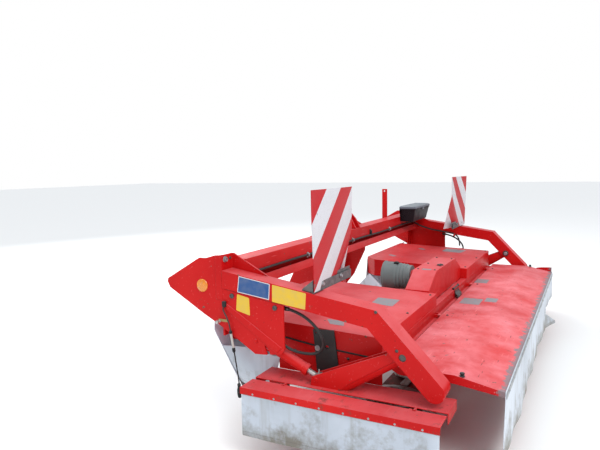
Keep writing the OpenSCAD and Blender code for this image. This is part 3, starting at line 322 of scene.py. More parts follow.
def makeBlank(name, colour, worn, under=(.3, .27, .26)):
    # blank plate or sticker: plain colour, bleached and scratched through to what is under it
    m = lookKit(name)
    m.start((30, 5), (.35, .7), colour, tinted(colour, .8, .06))
    lost = m.spots((85, 7, .75), (.73 - .16 * worn, .78 - .16 * worn))
    m.cover(lost, under)
    return m.end(m.fade(lost, 0, 1, .38, .75), m.bump(lost, -.3, .0004))


def makeLens(name, colour):
    m = lookKit(name)
    cells = m.cells(300.0)
    m.colour = m.blend(m.fade(cells, .02, .15), tinted(colour, .6), colour)
    film = m.spots((40, 5), (.5, .75, 0, .4))
    m.cover(film, (.45, .35, .22))
    return m.end(m.fade(film, 0, .4, .14, .5), m.bump(cells, .4, .0006),
                 {"Coat Weight": .8, "Coat Roughness": .06})


# the share given to each paint sets how far its tops go pale with dust and painted sky sheen
redPaint = makePaint("redPaint", sheenAndDustCover=.42)
cleanPaint = makePaint("cleanPaint", sheenAndDustCover=.12, scuffs=.4)
guardPaint = makePaint("guardPaint", sheenAndDustCover=.9, wear=.9, scuffs=.75, wornFrom=-.648)
farPaint = makePaint("farPaint", sheenAndDustCover=.26, scuffs=.4)
lowPaint = makePaint("lowPaint", sheenAndDustCover=.25, wear=.9, mudTop=.6)
zinc = makeZinc("zincCoat")
dullZinc = makeZinc("dullZinc", .42)
brightSteel = makeSteel("brightSteel", 1.15, .1)
wornSteel = makeSteel("wornSteel", .8, .75)
darkSteel = makeSteel("blackedSteel", .22, .35)
boxPlastic = makePlastic("boxPlastic", (.011, .011, .014), .45, 420, .15, .12)
lidPlastic = makePlastic("lidPlastic", (.105, .13, .158), .4, 420, .75)
guardRubber = makePlastic("guardRubber", (.135, .165, .165), .62, 200, .35)
hoseRubber = makeRubber("hoseRubber")
canvas = makeCanvas("canvasCloth")
print("materials made")


# every CAD node gets its finish, and crisp sheet edges get a small round
finishSet = (
    (redPaint, "end_plate_left end_plate_right arm_left arm_right top_link_tower hitch_plates hose_holder"),
    (redPaint, "lift_cylinder_left lift_cylinder_right end_decks swing_tubes rear_hood_left centre_cover"),
    (redPaint, "hinge_channel side_guard_left side_guard_right"),
    (cleanPaint, "cross_beam"), (farPaint, "rear_hood_right"), (guardPaint, "front_hood"),
    (lowPaint, "cutter_bar gearbox carrier_tube bar_hangers"),
    (darkSteel, "pivot_pins shaft_hook"), (brightSteel, "lift_rod_left lift_rod_right input_shaft"),
    (wornSteel, "skid_shoes disc_1 disc_2 disc_3 disc_4 disc_5 disc_6 disc_7"),
    (zinc, "warning_boards parking_leg_left parking_leg_right"), (dullZinc, "board_brackets"),
    (boxPlastic, "document_box"), (lidPlastic, "box_lid"), (guardRubber, "shaft_guard"),
    (hoseRubber, "hydraulic_hoses wiring_cable pull_cables rubber_flaps"),
    (canvas, "rear_skirt front_skirt side_skirt_left side_skirt_right"))
finishes = {name: mat for mat, names in finishSet for name in names.split()}
roundSet = {"width": .0014, "angle": 38, "weld": .00002, "flat": .6,
            "skip": ("hydraulic_hoses", "wiring_cable", "pull_cables")}


def addModifier(obj, kind, **settings):
    return withSettings(obj.modifiers.new(kind.lower(), kind), **settings)


def finishNode(name, mat, s):
    obj = nodes[name]
    obj.data.materials.clear()
    obj.data.materials.append(mat)
    if name in s["skip"]:
        return
    for face in obj.data.polygons:
        face.use_smooth = True
    addModifier(obj, "WELD", merge_threshold=s["weld"])
    addModifier(obj, "DECIMATE", decimate_type="DISSOLVE", angle_limit=math.radians(s["flat"]))
    addModifier(obj, "BEVEL", width=s["width"], segments=2, limit_method="ANGLE",
                angle_limit=math.radians(s["angle"]), use_clamp_overlap=False)
    addModifier(obj, "WEIGHTED_NORMAL", keep_sharp=False)


for name in nodes:
    finishNode(name, finishes[name], roundSet)
print("finishes on the CAD nodes")


# modelling helpers: primitives, edit mode, modifiers
def allClear():
    if bpy.context.object and bpy.context.object.mode != "OBJECT":
        bpy.ops.object.mode_set(mode="OBJECT")
    bpy.ops.object.select_all(action="DESELECT")


def activate(obj):
    allClear()
    obj.select_set(True)
    bpy.context.view_layer.objects.active = obj


def named(name):
    obj = bpy.context.object
    obj.name = name
    return obj


def startBlock(name, low, high):
    allClear()
    low, high = Vector(low), Vector(high)
    bpy.ops.mesh.primitive_cube_add(size=1, location=(low + high) / 2)
    obj = named(name)
    obj.scale = high - low
    bpy.ops.object.transform_apply(location=True, rotation=True, scale=True)
    return obj


def startRound(name, place, radius, length, sides, axis="Z"):
    allClear()
    turn = {"X": (0, math.pi / 2, 0), "Y": (-math.pi / 2, 0, 0), "Z": (0, 0, 0)}[axis]
    bpy.ops.mesh.primitive_cylinder_add(vertices=sides, radius=radius, depth=length, location=place, rotation=turn)
    obj = named(name)
    bpy.ops.object.transform_apply(location=True, rotation=True, scale=True)
    return obj


def startGrid(name, across, down):
    allClear()
    bpy.ops.mesh.primitive_grid_add(x_subdivisions=across, y_subdivisions=down, size=1, location=(0, 0, 0))
    return named(name)


def openEdit(obj):
    activate(obj)
    bpy.ops.object.mode_set(mode="EDIT")
    bpy.ops.mesh.select_all(action="SELECT")


def pickFaces(obj, test):
    # edit mode with only the faces that pass the test selected
    openEdit(obj)
    bpy.ops.mesh.select_mode(type="FACE")
    bpy.ops.mesh.select_all(action="DESELECT")
    mesh = bmesh.from_edit_mesh(obj.data)
    for face in mesh.faces:
        if test(face.calc_center_median(), face.normal):
            face.select_set(True)
    bmesh.update_edit_mesh(obj.data)


def isTop(centre, normal):
    return normal.z > .99


def drawOut(x, y, z):
    bpy.ops.mesh.extrude_region_move(TRANSFORM_OT_translate={"value": (x, y, z)})


def backToObject():
    bpy.ops.object.mode_set(mode="OBJECT")


def endOutward():
    # every face turned outward, then out of edit mode
    bpy.ops.mesh.select_all(action="SELECT")
    bpy.ops.mesh.normals_make_consistent(inside=False)
    backToObject()


def applyModifier(obj, kind, **settings):
    activate(obj)
    bpy.ops.object.modifier_apply(modifier=addModifier(obj, kind, **settings).name)
    return obj


def thicken(obj, thickness):
    return applyModifier(obj, "SOLIDIFY", thickness=thickness, offset=0)


def makeShell(obj, thickness):
    thicken(obj, thickness)
    openEdit(obj)
    endOutward()


def cutWith(obj, cutter):
    applyModifier(obj, "BOOLEAN", object=cutter, operation="DIFFERENCE", solver="EXACT")
    bpy.data.objects.remove(cutter)


def roundEdges(obj, width, segments, angle=35):
    return applyModifier(obj, "BEVEL", width=width, segments=segments, limit_method="ANGLE",
                         angle_limit=math.radians(angle), use_clamp_overlap=True)


def smoothBy(obj, angle):
    activate(obj)
    bpy.ops.object.shade_smooth_by_angle(angle=math.radians(angle))
    return obj


def joinAll(name, parts):
    allClear()
    for part in parts:
        part.select_set(True)
    bpy.context.view_layer.objects.active = parts[0]
    if len(parts) > 1:
        bpy.ops.object.join()
    obj = named(name)
    obj.data.name = name
    return obj


def onSide(place, side):
    # a place or direction given for the right end, at either end
    return (side * place[0], place[1], place[2])


def sideBox(side, low, high):
    near, far = sorted((side * low[0], side * high[0]))
    return (near, *low[1:]), (far, *high[1:])


def towards(place, direction, spin=0.0):
    # matrix that stands a piece, modelled up +Z, on a place along a direction
    turn = Vector(direction).normalized().to_track_quat("Z", "Y").to_matrix().to_4x4()
    return Matrix.Translation(place) @ turn @ Matrix.Rotation(spin, 4, "Z")


def stand(obj, place, way):
    obj.data.transform(towards(place, way))
    return obj


def setOn(obj, body, mat, *stands):
    obj.data.materials.clear()
    obj.data.materials.append(mat)
    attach(obj, body)
    if stands:
        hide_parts(*stands)
    return obj


# hoses, cable and pull cords: the same routes as their CAD solids
cordSet = {
    "hose": {"radius": .0065, "steps": 3, "end": "object", "stiffness": "stiff", "lay": "loose", "points": [
        (1.44, .166, .634), (1.44, .143, .632), (1.44, .105, .624), (1.44, .064, .609), (1.44, .028, .587),
        (1.438, 0, .56), (1.432, -.016, .533), (1.422, -.02, .506), (1.412, -.016, .48), (1.405, -.003, .458),
        (1.402, .02, .441), (1.405, .05, .434), (1.414, .084, .436), (1.428, .116, .445), (1.438, .147, .461),
        (1.438, .174, .477), (1.431, .202, .488), (1.424, .222, .491), (1.422, .236, .491)]},
    "cable": {"radius": .0062, "steps": 3, "end": "object", "stiffness": "medium", "lay": "loose", "points": [
        (-1.3, .3837, .756), (-.9, .3837, .757), (-.45, .3837, .753), (0, .3837, .757), (.45, .3837, .752),
        (.85, .3837, .757), (1.24, .3837, .754), (1.32, .38, .738), (1.358, .35, .712), (1.3687, .3, .694),
        (1.3687, .24, .678), (1.3687, .15, .664), (1.3687, .06, .65), (1.366, .02, .628),
        (1.364, .002, .59), (1.362, -.002, .545)]},
    "pull": {"radius": .003, "steps": 5, "end": "tool", "stiffness": "medium", "lay": "hanging", "points": [
        (1.474, .45, .628), (1.475, .455, .606), (1.476, .447, .588), (1.477, .436, .572), (1.478, .422, .54),
        (1.478, .414, .5), (1.478, .407, .462), (1.478, .401, .43), (1.478, .391, .37), (1.478, .38, .3),
        (1.478, .376, .262)]}}


def throughPoints(points, steps):
    # smooth line through the points, each stretch cut into steps
    pts = [Vector(p) for p in points]
    line = []
    for i in range(len(pts) - 1):
        a, b = pts[max(i - 1, 0)], pts[i]
        c, d = pts[i + 1], pts[min(i + 2, len(pts) - 1)]
        for k in range(steps):
            t = k / steps
            bend = (2 * a - 5 * b + 4 * c - d) * t * t + (3 * b - a - 3 * c + d) * t ** 3
            line.append(.5 * ((2 * b) + (c - a) * t + bend))
    return line + [pts[-1]]


def makeCord(name, s, side):
    line = [Vector(onSide(p, side)) for p in throughPoints(s["points"], s["steps"])]
    data = withSettings(bpy.data.curves.new(name, "CURVE"), dimensions="3D", bevel_depth=s["radius"],
                        bevel_resolution=4, use_fill_caps=True)
    spline = data.splines.new("POLY")
    spline.points.add(len(line) - 1)
    for point, place in zip(spline.points, line):
        point.co = (*place, 1)
        point.radius = 1
    spline.use_smooth = True
    obj = setOn(linked(name, data), "frame", hoseRubber)
    return obj


for side, word in bothEnds:
    hose = makeCord("liftHose" + word, cordSet["hose"], side)
cable = makeCord("lampCable", cordSet["cable"], 1)
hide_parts("hydraulic_hoses")
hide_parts("wiring_cable")
print("hoses and cords laid")


# warning boards: thin sheet with corners bent by use
boardSet = {"inner": 1.047, "outer": 1.47, "low": .722, "high": 1.145, "back": -.0015, "thick": .0022, "cuts": 24}


def makeBoard(name, side, s):
    width, tall = s["outer"] - s["inner"], s["high"] - s["low"]
    obj = startGrid(name, s["cuts"], s["cuts"])
    for v in obj.data.vertices:
        u, t = v.co.x + .5, v.co.y + .5   # u from the inner edge, t from the bottom
        x, y, z = s["inner"] + u * width, s["back"], s["low"] + t * tall
        if side < 0:
            # near board: inner lower corner folded back and up
            fold = max(0.0, (1 - u) + (1 - t) * .9 - 1.42)
            y += fold * .095
            z += fold * .055
            y += .004 * math.sin(u * 5 + t * 3)
        else:
            # far board: outer edge leans forward, its inner lower corner is pushed back
            y -= .055 * max(0.0, u - .35) ** 1.4 * (.55 + .45 * t)
            fold = max(0.0, (1 - u) + (1 - t) * .8 - 1.3)
            y += fold * .13
        v.co = (side * x, y, z)
    makeShell(obj, s["thick"])
    return smoothBy(obj, 40)


for side, word in bothEnds:
    skin = makeBoardSkin("boardSkin" + word, side * boardSet["outer"], boardSet["high"], -side)
    board = setOn(makeBoard("warningBoard" + word, side, boardSet), "frame", skin)
    if side > 0:
        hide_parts("warning_boards")
print("boards made")


# canvas skirts: one shaped sheet each, with hems, waves and a UV map along the cloth
clothThick = .0026


def makeCloth(name, across, down, topOf, lowOf, push):
    obj = startGrid(name, across, down)
    uvLayer = obj.data.uv_layers[0]
    uvLayer.name = "cloth"
    flat = {}
    for v in obj.data.vertices:
        u, t = v.co.x + .5, .5 - v.co.y
        a, b = Vector(topOf(u)), Vector(lowOf(u))
        flat[v.index] = (u, (b - a).length * t, (b - a).length)
        v.co = a.lerp(b, t) + Vector(push(u, t))
    span = (Vector(topOf(1)) - Vector(topOf(0))).length
    for loop in obj.data.loops:
        u, drop, full = flat[loop.vertex_index]
        uvLayer.data[loop.index].uv = (u * span, full - drop)
    area = sum(p.area for p in obj.data.polygons)
    makeShell(obj, clothThick)
    return smoothBy(obj, 50), area


def ripple(u, t, span, seed, depth):
    # folds that deepen towards the free edge
    p = u * span
    wave = (math.sin(p * 9.0 + seed) + .6 * math.sin(p * 21.0 + seed * 2.3)
            + 1.6 * noise.noise((p * 3.1, seed, t * 1.3)))
    return depth * wave * t ** 1.4


def clamp(value):
    return min(1.0, max(0.0, value))


frontCloth = {"top": .3735, "low": .101, "torn": .201, "half": 1.326, "y": -.7415, "wave": .0055, "most": .012,
              "tearX": .6, "ragged": .006, "flapTip": (.8, -.799), "flapTop": .211, "tipTop": .122,
              "flapSize": (.212, .118)}


def hangFront(s):
    def topOf(u):
        return (-s["half"] + 2 * s["half"] * u, s["y"], s["top"])

    def lowOf(u):
        # the lowest strip is torn off toward the far end
        x = topOf(u)[0]
        edge = s["torn"] + s["ragged"] * noise.noise((x * 9, .4, .1))
        return (x, s["y"], s["low"] if x < s["tearX"] + .004 else edge)

    def push(u, t):
        return (0, min(ripple(u, t, 2.65, .7, s["wave"]), s["most"]), 0)

    def flapEdge(z, endZ):
        # from the tear to the flap's pointed end
        a, b = Vector((s["tearX"] + .006, s["y"] - .001, z)), Vector((*s["flapTip"], endZ))
        return lambda u: tuple(a.lerp(b, u))

    def flapPush(u, t):
        # the flap kicks out in a lazy curl
        return (0, .006 * math.sin(math.pi * u) * (.4 + .6 * t), -.006 * u * u * (1 - t))

    skirt, area = makeCloth("frontSkirt", 160, 14, topOf, lowOf, push)
    setOn(skirt, "front_guard", canvas, "front_skirt")
    flap, area = makeCloth("frontSkirtFlap", 26, 10, flapEdge(s["flapTop"], s["tipTop"]),
                           flapEdge(s["low"], s["low"] - .002), flapPush)
    setOn(flap, "front_guard", canvas)


hangFront(frontCloth)


# canvas behind the hoods
rearCloth = {"topHalf": 1.45, "lowHalf": 1.242, "top": .5408, "low": .15, "y": .5223, "wave": .004,
             "dip": .184, "dipHalf": .515, "dipSlope": .035, "peak": .3, "peakHalf": .15, "spread": .034,
             "tent": [(0, -.2, .01), (.1667, -.104, .139), (.5, -.002, .087), (1, 0, 0)]}


def hangRear(s):
    firstY, firstZ = s["tent"][0][1:]

    def peakAt(x):
        return max(0.0, 1 - abs(x - s["peak"]) / s["peakHalf"])

    def tentAt(t):
        # how far the peak's ridge stands forward and up at this share of the drop
        for (t0, y0, z0), (t1, y1, z1) in zip(s["tent"], s["tent"][1:]):
            if t <= t1:
                k = (t - t0) / (t1 - t0)
                return y0 + (y1 - y0) * k, z0 + (z1 - z0) * k
        return 0, 0

    def topOf(u):
        # lies under the hoods' back edges, dips round the drive shaft, and flops forward in one limp peak
        x = (2 * u - 1) * s["topHalf"]
        drop = s["dip"] * clamp((s["dipHalf"] - abs(x)) / s["dipSlope"])
        rise = peakAt(x)
        return (x, s["y"] + firstY * rise, s["top"] - drop + firstZ * rise)

    def lowOf(u):
        # the outer ends run in along a slope
        return ((2 * u - 1) * s["lowHalf"], s["y"], s["low"])

    def push(u, t):
        out = abs(2 * u - 1)
        edge = max(0.0, out - .9) / .1
        fold = .03 * math.exp(-((out * 1.45 - 1.28) / .03) ** 2) * t
        rise = peakAt((2 * u - 1) * s["topHalf"])
        forward, up = (rise * (now - first * (1 - t)) for now, first in zip(tentAt(t), (firstY, firstZ)))
        spread = math.copysign(s["spread"] * edge * (1 - t) * min(1.0, t / .12), u - .5)
        wave = max(-.0008, ripple(u, t, 2.8, 2.1, s["wave"]) * (1 - .6 * edge))
        return (spread, wave * (1 - rise) + .5 * fold + forward, up)

    cloth, area = makeCloth("rearSkirt", 170, 18, topOf, lowOf, push)
    setOn(cloth, "cutting_unit", canvas, "rear_skirt")


hangRear(rearCloth)


# end panels of the same canvas, down from the hoods' end walls
endCloth = {"x": 1.3322, "backY": .516, "frontY": .292, "stepY": .245, "high": .405, "step": .369, "low": .17,
            "wave": .0016, "flare": (.068, .148), "fold": (.605, .36), "width": .29}


def hangEnd(side, word, s):
    def topOf(u):
        # a rise at the back and a lower shoulder in front
        y = s["stepY"] + (s["backY"] - s["stepY"]) * u
        return (side * s["x"], y, s["step"] + (s["high"] - s["step"]) * clamp((u - .12) / .8))

    def lowOf(u):
        return (side * s["x"], s["frontY"] + (s["backY"] - s["frontY"]) * u, s["low"] + .01 * u)

    def push(u, t):
        # behind a slanting fold the canvas stands out toward the back canvas
        fold = s["fold"][0] - s["fold"][1] * t
        flare = (s["flare"][0] - s["flare"][1] * t) * max(0.0, u - fold) / (1 - fold)
        return (side * (abs(ripple(u, t, .27, 3.0 + side, s["wave"])) + flare), 0, 0)

    cloth, area = makeCloth("endCanvas" + word, 22, 14, topOf, lowOf, push)
    setOn(cloth, "cutting_unit", canvas)


# canvas of the side guards
sideCloth = {"x": 1.5937, "front": -.556, "back": .286, "top": .3107, "low": .1, "wave": .0022}


def hangSide(side, word, s):
    def edgeAt(z):
        return lambda u: (side * s["x"], s["front"] + (s["back"] - s["front"]) * u, z)

    def push(u, t):
        return (-side * abs(ripple(u, t, .85, 1.0 + side, s["wave"])), 0, 0)

    guard = "side_guard_" + word.lower()
    cloth = makeCloth("sideSkirt" + word, 60, 10, edgeAt(s["top"]), edgeAt(s["low"]), push)[0]
    setOn(cloth, guard, canvas, "side_skirt_" + word.lower())


for side, word in bothEnds:
    hangEnd(side, word, endCloth)
for side, word in bothEnds:
    hangSide(side, word, sideCloth)
print("canvas hung")


# fasteners: each is modelled once, standing on the ground plane, and copied to its seats
def stepTop(obj, steps, width, height):
    # the top face drawn in, and lifted or sunk, step by step
    for thick, rise in steps:
        pickFaces(obj, isTop)
        bpy.ops.mesh.inset(thickness=width * thick)
        bpy.ops.transform.translate(value=(0, 0, height * rise))
    backToObject()


def makeDomeBolt(name, width, height):
    # domed head with a key hole in its crown
    obj = startRound(name, (0, 0, height * .25), width / 2, height * .5, 20)
    stepTop(obj, ((.1, .3), (.16, .18), (.06, -.25)), width, height)
    return smoothBy(obj, 40)


washerSet = {"thick": .0022, "wide": 1.55, "edge": .0006}


def makeHexBolt(name, flats, height, s):
    plate = startRound(name, (0, 0, s["thick"] / 2), flats * s["wide"] / 2, s["thick"], 28)
    roundEdges(plate, s["edge"], 1)
    head = startRound("head", (0, 0, s["thick"] + height / 2), flats / math.sqrt(3), height, 6)
    stepTop(head, ((.05, .08), (.1, -.1)), flats, height)
    return smoothBy(joinAll(name, [plate, head]), 30)


def makeNipple(name):
    # grease nipple: hexagon, waist and ball
    foot = startRound(name, (0, 0, .003), .0052, .006, 6)
    waist = startRound("waist", (0, 0, .008), .0026, .006, 12)
    for rise, grow in ((.0018, 1.35), (.0022, .6)):
        pickFaces(waist, isTop)
        drawOut(0, 0, rise)
        bpy.ops.transform.resize(value=(grow, grow, 1), center_override=(0, 0, .012))
    backToObject()
    return smoothBy(joinAll(name, [foot, waist]), 35)


def copyTo(template, matrix):
    obj = linked(template.name, template.data.copy())
    obj.data.transform(matrix)
    return obj


def placeCopies(name, template, seats, body, mat):
    # seats are pairs of place and direction, and each copy is turned a little on from the last
    parts = [copyTo(template, towards(place, way, .37 * i)) for i, (place, way) in enumerate(seats)]
    return setOn(joinAll(name, parts), body, mat)


def facing(way, *places):
    return [(place, way) for place in places]


def both(seats):
    # the same seats on the right end and on the left end
    return [(onSide(place, side), onSide(way, side)) for side in (1, -1) for place, way in seats]


def rowOf(way, y, z, *across):
    # seats in a row, mirrored across the middle
    return [((side * x, y, z), way) for side in (1, -1) for x in across]


def ringOf(middle, radius, count, height):
    # seats on a level ring
    turns = [2 * math.pi * (i + .5) / count for i in range(count)]
    return [((middle[0] + radius * math.cos(a), middle[1] + radius * math.sin(a), height), (0, 0, 1)) for a in turns]


templates = {"dome": makeDomeBolt("domeBolt", .023, .0085), "smallDome": makeDomeBolt("smallDome", .013, .005),
             "hex": makeHexBolt("hexBolt", .019, .0085, washerSet),
             "smallHex": makeHexBolt("smallHex", .013, .006, washerSet), "nipple": makeNipple("nipple")}
outward, forward, backward, upward = (1, 0, 0), (0, -1, 0), (0, 1, 0), (0, 0, 1)
stations = [(i * .42, -.14) for i in range(-3, 4)]
boltSet = {
    "plateBolts": ("dome", "frame", darkSteel, both(facing(outward, (1.466, .41, .669), (1.466, .187, .637)))),
    "plateStuds": ("smallDome", "frame", darkSteel, both(
        facing(outward, (1.47, -.359, .525), (1.47, -.2735, .669)) + facing(forward, (1.401, .461, .83)))),
    "webBolts": ("hex", "frame", zinc, both(facing(forward, (1.441, .461, .8286)))),
    "bracketBolts": ("smallHex", "frame", zinc, both(facing(forward, (1.2, -.0067, .745), (1.39, -.0067, .745)))),
    "wallBolts": ("smallDome", "cutting_unit", darkSteel, both(
        facing(outward, (1.33, -.096, .4105), (1.33, -.181, .4105), (1.33, .165, .412)))),
    "coverBolts": ("smallDome", "cutting_unit", darkSteel, facing(
        upward, (-.016, -.094, .617), (.212, -.19, .617), (-.225, -.088, .617), (.225, -.088, .617),
        (-.228, -.19, .617))),
    "bandBolts": ("smallDome", "cutting_unit", darkSteel, rowOf(upward, -.228, .5208, .475, .9, 1.29)),
    "backBolts": ("smallHex", "cutting_unit", zinc, rowOf(backward, .5238, .522, .58, .82, 1.06, 1.29)),
    "stationBolts": ("smallHex", "cutting_unit", wornSteel, [
        seat for place in stations for seat in ringOf(place, .0625, 6, .0483)]),
    "housingBolts": ("smallDome", "cutting_unit", zinc, ringOf((0, -.14), .0555, 6, .1195)),
    "pinEnds": ("hex", "frame", zinc, [((side * 1.362, -.3802, .4985), (-side, 0, 0)) for side in (1, -1)]),
    "guardBolts": ("smallDome", "front_guard", darkSteel, facing(
        upward, (-1.1, -.318, .4092), (-.45, -.318, .4092), (.45, -.318, .4092), (1.1, -.318, .4092)))}
nippleSet = (("cylinder", (1.422, .29, .4985)), ("rod", (1.422, 0, .3635)))
for name, (kind, body, mat, seats) in boltSet.items():
    placeCopies(name, templates[kind], seats, body, mat)
for side, word in bothEnds:
    for part, spot in nippleSet:
        body = "lift_%s_%s" % (part, word.lower())
        placeCopies(part + "Nipple" + word, templates["nipple"], [(onSide(spot, side), upward)], body, brightSteel)
print("bolts seated")


# round parts drawn out ring by ring from a disc: profile of radius and height
def makeTurned(name, profile, sides):
    (radius, bottom), (nextRadius, top) = profile[:2]
    obj = startRound(name, (0, 0, (bottom + top) / 2), radius, top - bottom, sides)
    pickFaces(obj, isTop)
    bpy.ops.transform.resize(value=(nextRadius / radius, nextRadius / radius, 1), center_override=(0, 0, top))
    radius = nextRadius
    for nextRadius, height in profile[2:]:
        drawOut(0, 0, height - top)
        bpy.ops.transform.resize(value=(nextRadius / radius, nextRadius / radius, 1), center_override=(0, 0, height))
        radius, top = nextRadius, height
    endOutward()
    return smoothBy(obj, 32)


def barBetween(name, a, b, profile, sides=20):
    # a turned piece from one point to another; profile heights run from 0 to 1
    a, b = Vector(a), Vector(b)
    return stand(makeTurned(name, [(r, t * (b - a).length) for r, t in profile], sides), a, b - a)


def sideBar(name, side, a, b, profile, sides=20):
    return barBetween(name, onSide(a, side), onSide(b, side), profile, sides)


# amber reflectors on the end plates
reflectorSet = {"place": (1.466, .574, .704), "amber": (.92, .3, .012), "radius": .03, "sides": 48, "profile": [
    (1, 0), (1, .0035), (.96, .005), (.86, .0052), (.83, .0042), (.6, .0058), (.25, .0066)]}
amberLens = makeLens("amberLens", reflectorSet["amber"])


def makeReflector(name, side, s):
    obj = makeTurned(name, [(s["radius"] * share, height) for share, height in s["profile"]], s["sides"])
    return setOn(stand(obj, onSide(s["place"], side), (side, 0, 0)), "frame", amberLens)


for side, word in bothEnds:
    makeReflector("reflector" + word, side, reflectorSet)


# blank stickers: thin sheet with rounded corners, corners given as Y and Z
stickerSet = {
    "blueSticker": {"x": 1.4702, "corners": [(.368, .764), (.208, .741), (.213, .67), (.378, .69)],
                    "rim": .0035, "torn": False, "sides": (-1,)},
    "longSticker": {"x": 1.4702, "corners": [(.196, .739), (.033, .7155), (.038, .646), (.198, .664)],
                    "rim": 0.0, "torn": False, "sides": (1, -1)},
    "smallSticker": {"x": 1.4662, "corners": [(.382, .68), (.319, .668), (.316, .589), (.389, .606)],
                     "rim": 0.0, "torn": True, "sides": (1, -1)}}
sheetSet = {"sticker": (.0005, .004), "patch": (.0004, .007), "tear": (.3, .22)}
blueFilm = makeBlank("blueFilm", (.008, .075, .26), .35, (.35, .4, .47))
yellowFilm = makeBlank("yellowFilm", (.78, .5, .02), .25, (.5, .1, .06))
whiteFilm = makeBlank("whiteFilm", (.66, .67, .69), .5)
greyFilm = makeBlank("greyFilm", (.2, .215, .235), 1.0, (.66, .16, .15))


def makeSticker(name, corners, kind, torn, rim=0.0):
    # corners in space, in order round the sheet; a torn one loses its third corner
    thick, radius = sheetSet[kind]
    allClear()
    bpy.ops.mesh.primitive_plane_add(size=1)
    obj = named(name)
    for v, i in zip(obj.data.vertices, (0, 1, 3, 2)):
        v.co = corners[i]
    openEdit(obj)
    if torn:
        a, b, c, d = (Vector(p) for p in corners)
        near = c.lerp(b, sheetSet["tear"][0])
        tear = (c.lerp(d, sheetSet["tear"][1]) - near).cross((b - a).cross(d - a))
        bpy.ops.mesh.bisect(plane_co=near, plane_no=tear, clear_inner=False, clear_outer=True)
        bpy.ops.mesh.select_all(action="SELECT")
    bpy.ops.mesh.bevel(offset=radius, segments=4, affect="VERTICES")
    if rim:
        bpy.ops.mesh.select_all(action="SELECT")
        bpy.ops.mesh.inset(thickness=rim)
    backToObject()
    return thicken(obj, thick)


for name, s in stickerSet.items():
    for side in s["sides"]:
        corners = [(side * s["x"], y, z) for y, z in s["corners"]]
        piece = makeSticker(name + dict(bothEnds)[side], corners, "sticker", s["torn"], s["rim"])
        setOn(piece, "frame", blueFilm if s["rim"] else yellowFilm)
        if s["rim"]:
            # the two largest faces stay blue, the border turns white
            piece.data.materials.append(whiteFilm)
            wide = [face.index for face in sorted(piece.data.polygons, key=lambda p: -p.area)[:2]]
            for face in piece.data.polygons:
                face.material_index = 0 if face.index in wide else 1
for template in templates.values():
    bpy.data.objects.remove(template)
print("stickers and reflectors on")


# worn grey patches where labels have rubbed away, lying on the hoods, the cover and the front guard
hoodSet = {"z": .52, "y": -.25, "rise": math.tan(math.radians(2)), "lift": .0004}


def onHood(*places):
    return [(x, y, hoodSet["z"] + (y - hoodSet["y"]) * hoodSet["rise"] + hoodSet["lift"]) for x, y in places]


def oblong(x, farX, back, front):
    return [(x, *back), (x, *front), (farX, *front), (farX, *back)]


patchSet = {
    "hoodPatchNear": ("cutting_unit", onHood((-.675, .003), (-.667, -.116), (-.816, -.121), (-.806, -.004))),
    "hoodPatchEnd": ("cutting_unit", onHood((-1.188, .071), (-1.177, -.011), (-1.248, -.042), (-1.253, .025))),
    "hoodPatchFar": ("cutting_unit", onHood((1.235, .08), (1.235, -.083), (1.08, -.07), (1.08, .085))),
    "hoodSpotFar": ("cutting_unit", onHood((1.15, .278), (1.096, .22), (1.06, .236), (1.105, .292))),
    "hoodSpotBack": ("cutting_unit", onHood((.7, .392), (.653, .33), (.618, .346), (.66, .404))),
    "coverPatch": ("cutting_unit", oblong(-.205, -.243, (-.112, .6174), (-.168, .6174))),
    "guardPatchMiddle": ("front_guard", oblong(.012, -.145, (-.316, .4096), (-.432, .4103))),
    "guardPatchWide": ("front_guard", oblong(.06, -.045, (-.445, .4104), (-.515, .4108))),
    "guardPatchFar": ("front_guard", oblong(.64, .5, (-.285, .4094), (-.37, .4099)))}
for name, (body, corners) in patchSet.items():
    piece = makeSticker(name, corners, "patch", name in ("hoodPatchNear", "guardPatchFar"))
    setOn(piece, body, greyFilm)


# small parts on the end plates: cord clip, sleeve, joint, ferrule and grip of the pull cord, ball bolt on its tab
paleSleeve = makePlastic("paleSleeve", (.42, .4, .37), .5)
blackPlastic = makePlastic("blackPlastic", (.016, .016, .017), .5)
dullYellow = makeBlank("dullYellow", (.36, .27, .085), .7, (.22, .13, .07))
cordGear = {
    "cordSleeve": ((1.478, .4145, .5), (1.478, .4015, .432), paleSleeve,
                   [(.0045, 0), (.0056, .05), (.0056, .95), (.0045, 1)]),
    "cordJoint": ((1.478, .4165, .512), (1.478, .414, .497), blackPlastic,
                  [(.0045, 0), (.0075, .25), (.008, .6), (.0055, 1)]),
    "cordFerrule": ((1.478, .402, .434), (1.478, .3985, .412), blackPlastic,
                    [(.006, 0), (.0075, .12), (.0075, .7), (.0045, 1)]),
    "pullGrip": ((1.478, .3775, .272), (1.478, .3745, .205), blackPlastic,
                 [(.005, 0), (.0085, .08), (.007, .2), (.0105, .45), (.0105, .75), (.0085, .95), (.005, 1)])}
plateSet = {
    "clip": ((1.466, .44, .616), (1.4795, .459, .642)), "tab": ((1.4662, .436, .541), (1.4702, .486, .561)),
    "ball": (1.4702, .479, .547), "ballProfile": [
        (.0065, 0), (.0065, .004), (.004, .006), (.004, .009), (.007, .012), (.0092, .017), (.0092, .021),
        (.007, .026), (.0025, .0285)]}


def makeClip(name, side, low, high, width):
    return smoothBy(roundEdges(startBlock(name, *sideBox(side, low, high)), width, 3), 40)


